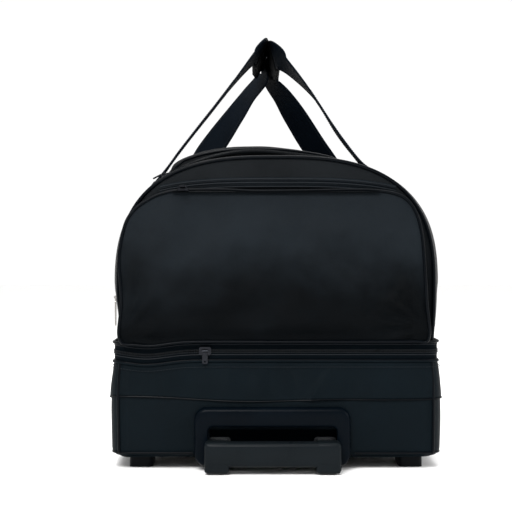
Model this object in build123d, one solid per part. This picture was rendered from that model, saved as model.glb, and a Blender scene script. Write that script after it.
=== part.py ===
from build123d import *
import math
import os

# Rolling duffel bag with a drop-bottom compartment, a telescopic trolley handle and two wheels.
# Millimetres. The bag stands on its skids and wheels at z = 0 with +Z up.
# The trolley end faces -Y, the wheels are at +Y, and X runs across the bag.
# The origin is the bottom centre of the whole bag's bounding box.

os.makedirs("parts", exist_ok=True)

# ---- driving dimensions ----
body_l = 604.0          # fabric body, end face to end face
low_w = 356.0           # width of the lower compartment
crown = 347.0           # top of the upper compartment between the ends
up_hw = low_w / 2       # half width of the upper compartment between the ends
up_hw_end = up_hw - 5.0     # half width at its end faces
crown_end = crown - 4.0     # top of the end faces
across_k = up_hw / 178.0    # what follows the bag's width
along_k = body_l / 604.0    # what follows the bag's length
top_r = 444.0 * across_k    # radius of the gently arched top
shoulder_r = 95.0 * across_k    # radius of the shoulders
end_run = 60.0          # length over which the ends swell to the full section
floor_z = 13.0          # underside of the lower compartment
low_top = 121.0         # top of the lower fabric, where the zip belt starts
split_z = 130.0         # where the two zip halves meet
up_base = 139.0         # bottom of the upper fabric
wall = 2.6              # fabric with its foam backing
corner_r = 16.0         # vertical corners of the lower compartment
grip_out = 45.0         # how far the trolley grip stands out from the end face
wheel_out = 11.0        # how far the wheels stand out at the other end
gap = 0.35              # air between parts that move past each other
seat = 0.2              # air between a skin and what it is sewn to
y_near = grip_out - (body_l + grip_out + wheel_out) / 2
y_far = y_near + body_l

# trolley
trolley_x = -4.0        # the trolley sits a little to one side
tube_z = 27.0           # height of the tube axes
tube_w = 24.0           # outer tube, across
tube_h = 16.0           # outer tube, high
tube_wall = 1.2
bezel_w = 171.0
bezel_top = 69.0
bezel_low = 5.0
bezel_out = 15.0
recess_w = 141.0
recess_top = 47.5
tube_dx = recess_w / 2 - tube_w / 2 - 0.5   # half the tube spacing
grip_w = 147.0
grip_low = 8.0
grip_top = 34.0
grip_t = 24.0           # thickness of the grip bar along Y
leg_w = 27.0

# wheels
wheel_r = 33.0
wheel_w = 24.0
axle_r = 4.0
running = 0.05          # radial clearance of the hub on its axle
wheel_x = low_w / 2 - 30.0
house_in = wheel_x - 28.0
house_out = wheel_x + 28.0
house_len = 2 * wheel_r + 4.0
house_top = 2 * wheel_r + 6.0

# webbing
web_w = 38.0
web_t = 2.5
strap_y = (125.0 * along_k, 475.0 * along_k)    # distance of the two straps from the trolley end
pivot_z = crown - 33.0
grip_a = 262.0 * along_k    # the padded grips run between these two distances
grip_b = 385.0 * along_k

# lid over the mouth of the upper compartment
lid_left = -120.0 * across_k
lid_right = 84.0 * across_k
lid_y = (75.0, body_l - 75.0)
mouth_x = (lid_left + 16.0, lid_right - 14.0)
mouth_y = (92.0, body_l - 92.0)

# side pocket zips, end pocket
side_zip_z = up_base + (crown - up_base) * 0.23
pocket_hw = up_hw - 10.0
pocket_top = crown - 37.0
pocket_out = 20.0


def block(x0, x1, y0, y1, z0, z1):
    """A box between two corners."""
    centre = Pos((x0 + x1) / 2, (y0 + y1) / 2, (z0 + z1) / 2)
    return centre * Box(x1 - x0, y1 - y0, z1 - z0)


def cross(y):
    """A sketch plane across the bag at a distance y from the trolley end face."""
    return Plane(origin=(0, y_near + y, 0), x_dir=(1, 0, 0), z_dir=(0, -1, 0))


def arch(y, hw, base, top, grow=0.0):
    """The bag's arched cross-section at distance y, grown outwards by grow."""
    half = hw + grow
    corner = shoulder_r + grow
    big = top_r + grow
    low = top + grow - big
    cx = half - corner
    cz = low + math.sqrt((big - corner) ** 2 - cx ** 2)
    k = big / (big - corner)
    tx = cx * k
    tz = low + (cz - low) * k
    turn = math.atan2(cz - low, cx) / 2
    mx = cx + corner * math.cos(turn)
    mz = cz + corner * math.sin(turn)
    edges = [
        Line((-half, base), (half, base)),
        Line((half, base), (half, cz)),
        ThreePointArc((half, cz), (mx, mz), (tx, tz)),
        ThreePointArc((tx, tz), (0, top + grow), (-tx, tz)),
        ThreePointArc((-tx, tz), (-mx, mz), (-half, cz)),
        Line((-half, cz), (-half, base)),
    ]
    return cross(y) * make_face(edges)


def tunnel(grow, base, y0, y1):
    """The solid inside of the swelling arched body between two distances."""
    run = end_run
    hw = up_hw_end
    parts = []
    parts.append(loft([arch(0, hw, base, crown_end, grow), arch(run, up_hw, base, crown, grow)], ruled=True))
    middle = extrude(arch(run, up_hw, base, crown, grow), amount=body_l - 2 * run, dir=(0, 1, 0))
    parts.append(middle)
    last = arch(body_l, hw, base, crown_end, grow)
    parts.append(loft([arch(body_l - run, up_hw, base, crown, grow), last], ruled=True))
    whole = parts[0] + parts[1] + parts[2]
    return whole & block(-400, 400, y_near + y0, y_near + y1, base - 1, 500)


def ring(w, l, r, z0, z1, t_in, t_out):
    """A rounded rectangular ring about the body's plan, t_out outside and t_in inside its line."""
    mid = y_near + body_l / 2
    outer = RectangleRounded(w + 2 * t_out, l + 2 * t_out, r + t_out)
    inner = RectangleRounded(w - 2 * t_in, l - 2 * t_in, max(r - t_in, 1))
    return Pos(0, mid, z0) * extrude(outer - inner, amount=z1 - z0)


def ribbon(stations, width, thick):
    """Webbing through stations of (point, width direction, running direction)."""
    faces = []
    for point, across, along in stations:
        at = Plane(origin=point, x_dir=across, z_dir=along)
        faces.append(at * Rectangle(width, thick))
    return loft(faces, ruled=True)


nodes = {}

# ---- lower compartment ----
mid_y = y_near + body_l / 2
tray = Pos(0, mid_y, floor_z) * extrude(RectangleRounded(low_w, body_l, corner_r), amount=low_top - floor_z)
inside = RectangleRounded(low_w - 2 * wall, body_l - 2 * wall, corner_r - wall)
tray -= Pos(0, mid_y, floor_z + wall) * extrude(inside, amount=200)
house_cut = block(house_in - gap, 250, y_far - house_len - gap, y_far + 30, 0, house_top + gap)
house_cuts = house_cut + mirror(house_cut, about=Plane.YZ)
recess_hw = recess_w / 2
sleeve_t = 2.5
recess_cut = block(
    trolley_x - recess_hw - sleeve_t - gap,
    trolley_x + recess_hw + sleeve_t + gap,
    y_near - 5,
    y_near + 11 + gap,
    0,
    recess_top + sleeve_t + gap,
)
nodes["lower_shell"] = tray - house_cuts - recess_cut
band = ring(low_w, body_l, corner_r, 75.0, low_top - 1.0, -seat, 1.4)
nodes["lower_band"] = band - house_cuts
piping = ring(low_w, body_l, corner_r, floor_z - 0.5, floor_z + 3.5, -seat, 2.6)
piping -= house_cuts
piping -= block(trolley_x - 88, trolley_x + 88, y_near - 20, y_near + 5, 0, 40)
nodes["lower_piping"] = piping
nodes["belt_zip_lower"] = ring(low_w, body_l, corner_r, low_top, split_z - gap, wall, 0.8)

# stiff board that lies on the trolley tubes
board_z = tube_z + tube_h / 2
board_hw = low_w / 2 - 10.0
board_end = y_far - house_len - 8.0
nodes["base_board"] = block(-board_hw, board_hw, y_near + 14, board_end, board_z, board_z + 3)

# skids under the trolley end
skid_x = low_w / 2 - 28.0
skid = block(skid_x - 13, skid_x + 13, y_near + 16, y_near + 66, 0, floor_z)
skid = fillet(skid.edges().filter_by(Axis.Z), 6)
nodes["skid_feet"] = skid + mirror(skid, about=Plane.YZ)

# ---- trolley bezel: a proud frame with a recess for the hand ----
frame_mid = (bezel_top + bezel_low) / 2
plate = cross(0) * Pos(trolley_x, frame_mid) * RectangleRounded(bezel_w, bezel_top - bezel_low, 12)
frame = extrude(plate, amount=bezel_out)
frame -= block(trolley_x - recess_hw, trolley_x + recess_hw, y_near - 30, y_near + 1, grip_low, recess_top)
sleeve = block(
    trolley_x - recess_hw - sleeve_t,
    trolley_x + recess_hw + sleeve_t,
    y_near,
    y_near + 11,
    grip_low - sleeve_t,
    recess_top + sleeve_t,
)
sleeve -= block(trolley_x - recess_hw, trolley_x + recess_hw, y_near - 1, y_near + 8, grip_low, recess_top)
mouth_w = tube_w - 2 * tube_wall
mouth_h = tube_h - 2 * tube_wall
for side in (-1, 1):
    x = trolley_x + side * tube_dx
    dx = mouth_w / 2
    dz = mouth_h / 2
    sleeve -= block(x - dx, x + dx, y_near, y_near + 20, tube_z - dz, tube_z + dz)
nodes["trolley_bezel"] = frame + sleeve

# ---- trolley tubes: each slides in the next larger one ----
stage_y = [
    (11.0, body_l - 56.0),
    (4.5, body_l - 76.0),
    (-28.0, body_l - 96.0),
]
step = tube_wall + 0.3
for stage, name in enumerate(("outer", "middle", "inner")):
    w = tube_w - 2 * stage * step
    h = tube_h - 2 * stage * step
    y0, y1 = stage_y[stage]
    for side, tag in ((-1, "left"), (1, "right")):
        x = trolley_x + side * tube_dx
        profile = RectangleRounded(w, h, 3.5 - 0.6 * stage)
        bore = RectangleRounded(w - 2 * tube_wall, h - 2 * tube_wall, 2.3 - 0.6 * stage)
        tube = extrude(cross(y0) * Pos(x, tube_z) * (profile - bore), amount=y1 - y0, dir=(0, 1, 0))
        nodes[f"trolley_tube_{name}_{tag}"] = tube

# collars at the mouths of the middle tubes
collars = None
inner_w = tube_w - 4 * step
inner_h = tube_h - 4 * step
for side in (-1, 1):
    x = trolley_x + side * tube_dx
    dx = tube_w / 2
    dz = tube_h / 2
    cuff = block(x - dx, x + dx, y_near + 0.5, y_near + 4.5, tube_z - dz, tube_z + dz)
    cuff = fillet(cuff.edges().filter_by(Axis.Y), 3)
    dx = inner_w / 2 + gap
    dz = inner_h / 2 + gap
    cuff -= block(x - dx, x + dx, y_near - 1, y_near + 6, tube_z - dz, tube_z + dz)
    collars = cuff if collars is None else collars + cuff
nodes["tube_collars"] = collars

# block that holds the far ends of the outer tubes
mount_hw = tube_dx + tube_w / 2 + 10.0
mount = block(trolley_x - mount_hw, trolley_x + mount_hw, y_far - 56, y_far - 38, floor_z + wall, 38)
mount = fillet(mount.edges().filter_by(Axis.Z), 3)
nodes["tube_mount"] = mount

# ---- grip: a bar between two legs that end in feet ----
y_grip = y_near - grip_out
bar = block(trolley_x - grip_w / 2, trolley_x + grip_w / 2, y_grip, y_grip + grip_t, grip_low, grip_top)
bar = fillet(bar.edges().filter_by(Axis.X), 4)
grip = bar
for side in (-1, 1):
    x_out = trolley_x + side * grip_w / 2
    x_in = x_out - side * leg_w
    lo, hi = sorted((x_out, x_in))
    leg = block(lo, hi, y_grip, y_near - bezel_out - 1, grip_low - 7, grip_top + 0.5)
    leg = fillet(leg.edges().filter_by(Axis.Y), 4)
    x = trolley_x + side * tube_dx
    leg -= block(
        x - inner_w / 2, x + inner_w / 2, y_near - 28, y_near, tube_z - inner_h / 2, tube_z + inner_h / 2
    )
    grip = grip - block(lo, hi, y_grip - 1, y_near, 0, 60) + leg
trigger_w = 44.0
trigger_h = 12.0
trigger_z = 21.0
pocket_d = 12.0
y_back = y_grip + grip_t
grip -= block(
    trolley_x - trigger_w / 2 - gap,
    trolley_x + trigger_w / 2 + gap,
    y_back - pocket_d,
    y_back + 1,
    trigger_z - trigger_h / 2 - gap,
    trigger_z + trigger_h / 2 + gap,
)
nodes["trolley_grip"] = grip
trigger = block(
    trolley_x - trigger_w / 2,
    trolley_x + trigger_w / 2,
    y_back - pocket_d + 5,
    y_back + 4.5,
    trigger_z - trigger_h / 2,
    trigger_z + trigger_h / 2,
)
nodes["release_trigger"] = fillet(trigger.edges().filter_by(Axis.Y), 2)

# ---- wheels ----
wheel_y = y_far + wheel_out - wheel_r
wheel_at = Pos(wheel_x, wheel_y, wheel_r) * Rot(0, 90, 0)
tyre = wheel_at * (Cylinder(wheel_r, wheel_w) - Cylinder(20, 60))
tyre = fillet(tyre.edges().filter_by(GeomType.CIRCLE).sort_by(SortBy.RADIUS)[-2:], 3)
hub = wheel_at * (Cylinder(20, wheel_w - 2) - Cylinder(axle_r + running, 60))
axle_len = house_out - house_in - 4
axle = Pos((house_in + house_out) / 2, wheel_y, wheel_r) * Rot(0, 90, 0) * Cylinder(axle_r, axle_len)
house = block(house_in, house_out, y_far - house_len, y_far + wheel_out - 1, 8, house_top)
house = fillet(house.edges().filter_by(Axis.X).sort_by(Axis.Z)[-2:], 14)
house = fillet(house.edges().filter_by(Axis.Z), 5)
room = wheel_w / 2 + 2.5
cavity = wheel_at * Cylinder(wheel_r + 4, 2 * room)
cavity += block(wheel_x - room, wheel_x + room, wheel_y - wheel_r - 4, y_far + 40, -5, wheel_r)
house -= cavity
house -= axle
for tag, about in (("right", None), ("left", Plane.YZ)):
    for name, solid in (("wheel_tyre", tyre), ("wheel_hub", hub), ("wheel_housing", house)):
        nodes[f"{name}_{tag}"] = solid if about is None else mirror(solid, about=about)
nodes["wheel_axles"] = axle + mirror(axle, about=Plane.YZ)

# ---- upper compartment, panel by panel ----
body = tunnel(0, up_base, 0, body_l)
hollow = tunnel(-wall, up_base + wall, wall, body_l - wall)
skin = body - hollow
mouth = block(mouth_x[0], mouth_x[1], y_near + mouth_y[0], y_near + mouth_y[1], 300, 420)
near_half = block(-400, 400, y_near - 5, y_near + wall, 0, 500)
far_half = block(-400, 400, y_far - wall, y_far + 5, 0, 500)
nodes["upper_end_near"] = skin & near_half
nodes["upper_end_far"] = skin & far_half
middle = skin & block(-400, 400, y_near + wall, y_far - wall, 0, 500)
under = block(-400, 400, y_near, y_far, 0, up_base + wall)
nodes["divider"] = middle & under
nodes["upper_body"] = middle - under - mouth
nodes["belt_zip_upper"] = ring(low_w, body_l, corner_r, split_z + gap, up_base, wall, 0.8)


def arch_ring(y0, y1, inner, outer, base):
    """A piping cord that follows an end arch between two distances."""
    shape = arch(y0, up_hw_end, base, crown_end, outer) - arch(y0, up_hw_end, base - 9, crown_end, inner)
    return extrude(shape, amount=y1 - y0, dir=(0, 1, 0))


nodes["piping_near"] = arch_ring(-2.5, -seat, -2.0, 2.0, up_base + 0.5)
nodes["piping_far"] = arch_ring(body_l + seat, body_l + 2.5, -2.0, 2.0, up_base + 0.5)

# end pocket: a pouch with rounded top corners, open towards the bag


def pocket_face(y, shrink):
    """The pocket's outline, shrunk by shrink, with rounded top corners."""
    w = pocket_hw - shrink
    top = pocket_top - shrink
    low = up_base + 2 + shrink
    r = 46.0 - shrink
    k = r * (1 - math.sqrt(0.5))
    edges = [
        Line((-w, low), (w, low)),
        Line((w, low), (w, top - r)),
        ThreePointArc((w, top - r), (w - k, top - k), (w - r, top)),
        Line((w - r, top), (r - w, top)),
        ThreePointArc((r - w, top), (k - w, top - k), (-w, top - r)),
        Line((-w, top - r), (-w, low)),
    ]
    return cross(y) * make_face(edges)


pouch = extrude(pocket_face(-2.7, 6.0), amount=pocket_out - 2.7)
front_edges = pouch.edges().filter_by(lambda e: abs(e.center().Y - (y_near - pocket_out)) < 0.01)
pouch = fillet(front_edges, 7)
pouch -= extrude(pocket_face(-2.0, 6.0 + wall), amount=pocket_out - 2.0 - wall)
nodes["end_pocket"] = pouch
zip_y = y_near - 9.5
zip_top = pocket_top - 6.0
zip_hw = pocket_hw - 56.0
nodes["pocket_zip"] = block(-zip_hw, zip_hw, zip_y - 5, zip_y + 5, zip_top, zip_top + 1.2)

# side pockets with their zips, and the sewn webbing straps
belly = block(-400, 400, y_near + end_run + 2, y_far - end_run - 2, up_base + 3, side_zip_z - 5)
lining = tunnel(seat, up_base, end_run, body_l - end_run)
panels = (tunnel(1.6, up_base, end_run, body_l - end_run) - lining) & belly
zips = (tunnel(1.4, up_base, end_run, body_l - end_run) - lining) & block(
    -400, 400, y_near + end_run + 2, y_far - end_run - 2, side_zip_z - 4.7, side_zip_z + 4.7
)
straps = None
for y in strap_y:
    low = side_zip_z + 7
    cut = block(-400, 400, y_near + y - web_w / 2, y_near + y + web_w / 2, low, pivot_z - 2)
    piece = (tunnel(2.2, up_base, end_run, body_l - end_run) - lining) & cut
    straps = piece if straps is None else straps + piece
left_half = block(-400, -100, -400, 400, 0, 500)
right_half = block(100, 400, -400, 400, 0, 500)
for tag, half in (("left", left_half), ("right", right_half)):
    nodes[f"side_pocket_{tag}"] = panels & half
    nodes[f"side_zip_{tag}"] = zips & half
    nodes[f"side_straps_{tag}"] = straps & half

# ---- lid ----


def skin_z(x, grow=0.0):
    """Height of the arched top between the ends at x, grown outwards."""
    big = top_r + grow
    flat = (up_hw - shoulder_r) * top_r / (top_r - shoulder_r)
    if abs(x) <= flat:
        return crown - top_r + math.sqrt(big ** 2 - x ** 2)
    low = crown - top_r
    cz = low + math.sqrt((top_r - shoulder_r) ** 2 - (up_hw - shoulder_r) ** 2)
    return cz + math.sqrt((shoulder_r + grow) ** 2 - (abs(x) - up_hw + shoulder_r) ** 2)


def lid_face(y, trim):
    """Half-moon between the bag's top and the puffed lid, trimmed by trim inside."""
    peak_x = -30.0 * across_k
    peak_z = crown + 14.0 - trim
    left = lid_left + trim
    right = lid_right - trim
    if trim:
        low_pts = [(left, 300.0), (right, 300.0)]
        edges = [
            Line(low_pts[0], low_pts[1]),
            Line(low_pts[1], (right, skin_z(right, 1.2))),
            ThreePointArc((right, skin_z(right, 1.2)), (peak_x, peak_z), (left, skin_z(left, 1.2))),
            Line((left, skin_z(left, 1.2)), low_pts[0]),
        ]
    else:
        bottom = [(left + (right - left) * i / 12, 0.0) for i in range(13)]
        bottom = [(x, skin_z(x, 1.4)) for x, _ in bottom]
        top_l = (left, bottom[0][1] + 3.0)
        top_r_pt = (right, bottom[-1][1] + 3.0)
        edges = [Line(bottom[i], bottom[i + 1]) for i in range(12)]
        edges.append(Line(bottom[-1], top_r_pt))
        edges.append(ThreePointArc(top_r_pt, (peak_x, peak_z), top_l))
        edges.append(Line(top_l, bottom[0]))
    return cross(y) * make_face(edges)


cover = extrude(lid_face(lid_y[0], 0.0), amount=lid_y[1] - lid_y[0], dir=(0, 1, 0))
cover -= extrude(lid_face(lid_y[0] + wall, wall), amount=lid_y[1] - lid_y[0] - 2 * wall, dir=(0, 1, 0))
nodes["lid_panel"] = cover
rim = (tunnel(1.0, up_base, end_run, body_l - end_run) - lining) & block(
    lid_left - 12, lid_left - 0.8, y_near + lid_y[0], y_near + lid_y[1], 300, 420
)
nodes["lid_zip"] = rim

# ---- carry handles ----


def unit(v):
    """A vector scaled to length one."""
    size = math.sqrt(sum(c * c for c in v))
    return tuple(c / size for c in v)


def vec_cross(a, b):
    """The cross product of two vectors."""
    return (a[1] * b[2] - a[2] * b[1], a[2] * b[0] - a[0] * b[2], a[0] * b[1] - a[1] * b[0])


def handle(near, far, centre, lean):
    """Webbing and padded grip of one carry handle.

    near and far list points of the two strands as share of the half width, distance from the
    trolley end and height over the crown. far adds the angle its face is turned from the run.
    """
    face_n = (-lean[1], 0.0, lean[0])
    points = [(x * across_k, y_near + y * along_k, crown + z) for x, y, z in near]
    middle_x = centre[0] * across_k
    middle_z = crown + centre[1]
    points.append((middle_x, y_near + grip_a, middle_z))
    stations = []
    for i in range(len(near)):
        along = unit(tuple(points[i + 1][k] - points[i][k] for k in range(3)))
        if i == 0:
            along = unit((along[0], 0.0, along[2]))
            across = (0.0, 1.0 if face_n[0] < 0 else -1.0, 0.0)
        else:
            across = unit(vec_cross(face_n, along))
            along = vec_cross(across, face_n)
        stations.append((points[i], across, unit(along)))
    across_grip = vec_cross(face_n, (0.0, 1.0, 0.0))
    for y in (grip_a, grip_b):
        stations.append(((middle_x, y_near + y, middle_z), across_grip, (0.0, 1.0, 0.0)))
    tail = [(x * across_k, y_near + y * along_k, crown + z) for x, y, z, _ in far]
    for i, point in enumerate(tail):
        last = stations[-1][0]
        nxt = tail[min(i + 1, len(tail) - 1)]
        along = unit(tuple(nxt[k] - last[k] for k in range(3)))
        if i == len(tail) - 1:
            along = unit((along[0], 0.0, along[2]))
        flat = unit((along[2], 0.0, -along[0]))
        edge_on = unit(vec_cross(along, flat))
        c = math.cos(far[i][3])
        s = math.sin(far[i][3])
        across = tuple(c * flat[k] + s * edge_on[k] for k in range(3))
        if sum(across[k] * stations[-1][1][k] for k in range(3)) < 0:
            across = tuple(-v for v in across)
        stations.append((point, unit(across), along))
    webbing = ribbon(stations, web_w, web_t)
    middle_at = (middle_x, y_near + (grip_a + grip_b) / 2, middle_z)
    at = Plane(origin=middle_at, x_dir=across_grip, z_dir=(0.0, 1.0, 0.0))
    length = grip_b - grip_a - 8
    pad = fillet(Box(web_w + 3.4, 10.0, length).edges().filter_by(Axis.Z), 4)
    pad -= Box(web_w + 0.4, web_t + 0.4, length + 2)
    return webbing, at * pad


left_near = [(-149.5, 125, -25), (-118, 143, 8), (-74, 182, 70), (-52, 206, 102), (-30, 236, 134)]
left_far = [
    (-25, 397, 133, 0.9),
    (-38, 404, 110, 0.2),
    (-55, 416, 84, 0.0),
    (-88, 440, 40, 0.3),
    (-119, 461, 8, 1.2),
    (-149.5, 475, -25, math.pi / 2),
]
right_near = [(149.5, 125, -25), (113.5, 143, 2), (73.6, 182, 46), (47.5, 206, 91), (24, 236, 125)]
right_far = [
    (19, 397, 127, 0.9),
    (26, 404, 105, 0.2),
    (38, 416, 81, 0.0),
    (70, 440, 36, 0.3),
    (111, 461, 8, 1.2),
    (149.5, 475, -25, math.pi / 2),
]
left_parts = handle(left_near, left_far, (-19.0, 151.0), unit((0.43, 0.9)))
right_parts = handle(right_near, right_far, (13.0, 145.0), unit((-0.4, 0.917)))
nodes["handle_webbing_left"], nodes["handle_grip_left"] = left_parts
nodes["handle_webbing_right"], nodes["handle_grip_right"] = right_parts

# ---- zip sliders with hinged pullers ----
bar_r = 0.8
bar_h = 4.7


def slider(at):
    """Slider body with a bar across two posts; at has x along the zip and z outwards."""
    body = Pos(0, 0, 1.55) * Box(13, 9, 2.5)
    body = fillet(body.edges().filter_by(Axis.Z), 2)
    for x in (-3.8, 3.8):
        body += Pos(x, 0, 3.9) * Box(1.4, 2.2, 3.4)
    body += Pos(0, 0, bar_h) * Rot(0, 90, 0) * Cylinder(bar_r, 8)
    return at * body


def puller(at, length, width):
    """Flat pull tab with a knuckle round the slider's bar, hanging along -y."""
    knuckle = Pos(0, 0, bar_h) * Rot(0, 90, 0) * Cylinder(1.75, 5.4)
    neck = Pos(0, -3.2, bar_h) * Box(4.0, 5.2, 1.4)
    tab = Pos(0, -4 - (length - 4) / 2, bar_h) * Box(width, length - 4, 1.5)
    tab = fillet(tab.edges().filter_by(Axis.Z), 1.5)
    tab -= Pos(0, 2.6 - length, bar_h) * Cylinder(1.0, 6)
    whole = knuckle + neck + tab
    whole -= Pos(0, 0, bar_h) * Rot(0, 90, 0) * Cylinder(bar_r + 0.08, 12)
    return at * whole


side_x = up_hw + 1.7
lean_x = 0.458
slope = (-lean_x, 0.0, math.sqrt(1 - lean_x ** 2))
arc_cx = up_hw - shoulder_r
arc_cz = crown - top_r + math.sqrt((top_r - shoulder_r) ** 2 - arc_cx ** 2)
reach = shoulder_r + 1.3
lid_slider_at = (-arc_cx + slope[0] * reach, y_near + 96.0, arc_cz + slope[2] * reach)
places = {
    "side_left": ((-side_x, y_near + 76, side_zip_z), (0, -1, 0), (-1, 0, 0), 33.0, 5.5),
    "side_right": ((side_x, y_near + 76, side_zip_z), (0, 1, 0), (1, 0, 0), 33.0, 5.5),
    "belt": ((-78, y_near - 1.1, split_z), (1, 0, 0), (0, -1, 0), 14.0, 6.0),
    "lid": (lid_slider_at, (0, -1, 0), slope, 15.0, 6.0),
    "pocket": ((-102, zip_y, zip_top + 1.5), (1, 0, 0), (0, 0, 1), 18.0, 6.0),
}
for name, (spot, along, out, length, width) in places.items():
    at = Plane(origin=spot, x_dir=along, z_dir=out)
    nodes[f"slider_{name}"] = slider(at)
    nodes[f"puller_{name}"] = puller(at, length, width)

for name, shape in nodes.items():
    export_step(shape, f"parts/{name}.step")
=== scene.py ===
"""Looks of a rolling duffel bag with a drop-bottom compartment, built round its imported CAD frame.

Shapes are worked out in millimetres as numpy arrays and put into meshes in metres. X runs across
the bag, Y from the trolley end (low) to the wheels (high), and Z up from the floor.
"""

from __future__ import annotations

import logging
import math
from abc import ABC, abstractmethod
from dataclasses import dataclass, field
from enum import Enum
from typing import Any, Iterable, Sequence

import bpy
import numpy as np
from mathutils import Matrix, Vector


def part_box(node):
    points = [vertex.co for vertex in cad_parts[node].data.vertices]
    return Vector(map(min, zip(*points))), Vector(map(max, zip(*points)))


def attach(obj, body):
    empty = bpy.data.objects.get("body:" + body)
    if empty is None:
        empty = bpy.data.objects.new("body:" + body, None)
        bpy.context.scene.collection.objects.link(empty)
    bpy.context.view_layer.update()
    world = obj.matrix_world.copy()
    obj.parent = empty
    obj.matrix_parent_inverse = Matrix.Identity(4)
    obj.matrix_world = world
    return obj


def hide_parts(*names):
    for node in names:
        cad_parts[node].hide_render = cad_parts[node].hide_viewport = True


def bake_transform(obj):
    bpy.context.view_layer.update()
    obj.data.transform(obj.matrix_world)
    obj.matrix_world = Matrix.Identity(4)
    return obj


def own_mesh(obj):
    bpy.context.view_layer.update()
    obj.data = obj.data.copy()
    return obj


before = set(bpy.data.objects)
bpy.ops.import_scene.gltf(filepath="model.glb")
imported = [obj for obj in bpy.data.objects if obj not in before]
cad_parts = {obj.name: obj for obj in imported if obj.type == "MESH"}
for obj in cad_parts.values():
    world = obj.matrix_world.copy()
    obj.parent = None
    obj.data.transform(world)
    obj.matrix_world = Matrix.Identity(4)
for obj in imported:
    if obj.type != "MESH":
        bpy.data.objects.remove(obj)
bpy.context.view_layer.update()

MM = 0.001
UP = (0.0, 0.0, 1.0)
LENGTHWISE = (0.0, 1.0, 0.0)
TOOTH_PITCH = 1.9  # mm from tooth to tooth
COIL_TOOTH = (1.25, 1.7, 1.0)  # mm along the zip, across it and outwards
WEB_WIDTH = 38.0  # mm, the carry webbing
STITCH_OFFSET = 15.5  # mm from the webbing's middle to a row of stitches
INNERMOST = 0.015  # share of its rim at which a panel's innermost ring is closed
log = logging.getLogger("duffel")


# ---------------------------------------------------------------- small maths


def smooth(t: np.ndarray | float) -> np.ndarray:
    """Zero below 0, one above 1, and 3t^2 - 2t^3 between them."""
    t = np.clip(t, 0.0, 1.0)
    return t * t * (3 - 2 * t)


def bell(q: np.ndarray | float, width: float) -> np.ndarray:
    """A rounded hump of height one: exp(-(q / width)^2)."""
    return np.exp(-((np.asarray(q) / width) ** 2))


def unit(v: np.ndarray) -> np.ndarray:
    """Vectors in the last axis scaled to length one."""
    return v / np.maximum(np.linalg.norm(v, axis=-1, keepdims=True), 1e-9)


def walked(path: np.ndarray) -> np.ndarray:
    """The length walked along a path to each of its points."""
    return np.concatenate([[0.0], np.cumsum(np.linalg.norm(np.diff(path, axis=0), axis=1))])


def sampled(rows: np.ndarray, run: np.ndarray, at: np.ndarray) -> np.ndarray:
    """Rows read at the lengths `at`, where run is the length walked to each row."""
    return np.stack([np.interp(at, run, rows[:, k]) for k in range(rows.shape[1])], axis=-1)


def curve_through(
    points: Sequence[Sequence[float]], count: int, closed: bool = False
) -> np.ndarray:
    """A smooth curve through points, evenly spaced along its length.

    Each span is a Catmull-Rom cubic of its two ends and their two neighbours, sampled finely,
    and the samples are then re-spaced by the length walked.

    Args:
        points: The points that the curve passes, any number of coordinates each.
        count: How many evenly spaced samples to return.
        closed: Whether the curve joins its last point to its first.

    Returns:
        An array of count rows.
    """
    p = np.asarray(points, float)
    if closed:
        p = np.concatenate([p[-1:], p, p[:2]])
    else:
        p = np.concatenate([2 * p[:1] - p[1:2], p, 2 * p[-1:] - p[-2:-1]])
    a, b, c, d = (p[i : len(p) - 3 + i, None, :] for i in range(4))
    t = np.linspace(0, 1, 40, endpoint=False)[None, :, None]
    square, cube = 2 * a - 5 * b + 4 * c - d, 3 * b - a - 3 * c + d
    fine = 0.5 * (2 * b + (c - a) * t + square * t**2 + cube * t**3)
    fine = np.concatenate([fine.reshape(-1, p.shape[1]), p[-2:-1]])
    run = walked(fine)
    return sampled(fine, run, np.linspace(0, run[-1], count, endpoint=not closed))


def slack(points: np.ndarray, size: float, scale: float, seed: int) -> np.ndarray:
    """Soft unevenness of filled cloth: a sum of eight seeded plane waves, between -size and size.

    Args:
        points: Positions in mm, coordinates in the last axis.
        size: Largest height in mm.
        scale: Typical wavelength in mm.
        seed: Chooses the waves' directions, lengths and phases.

    Returns:
        A height for each point.
    """
    rng = np.random.default_rng(seed)
    waves = unit(rng.normal(size=(8, 3))) * (2 * np.pi / scale) * rng.uniform(0.6, 1.7, (8, 1))
    phase = rng.uniform(0, 2 * np.pi, 8)
    return size * np.sin(points @ waves.T + phase).sum(axis=-1) / 4.5


# ---------------------------------------------------------------- meshes


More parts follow.
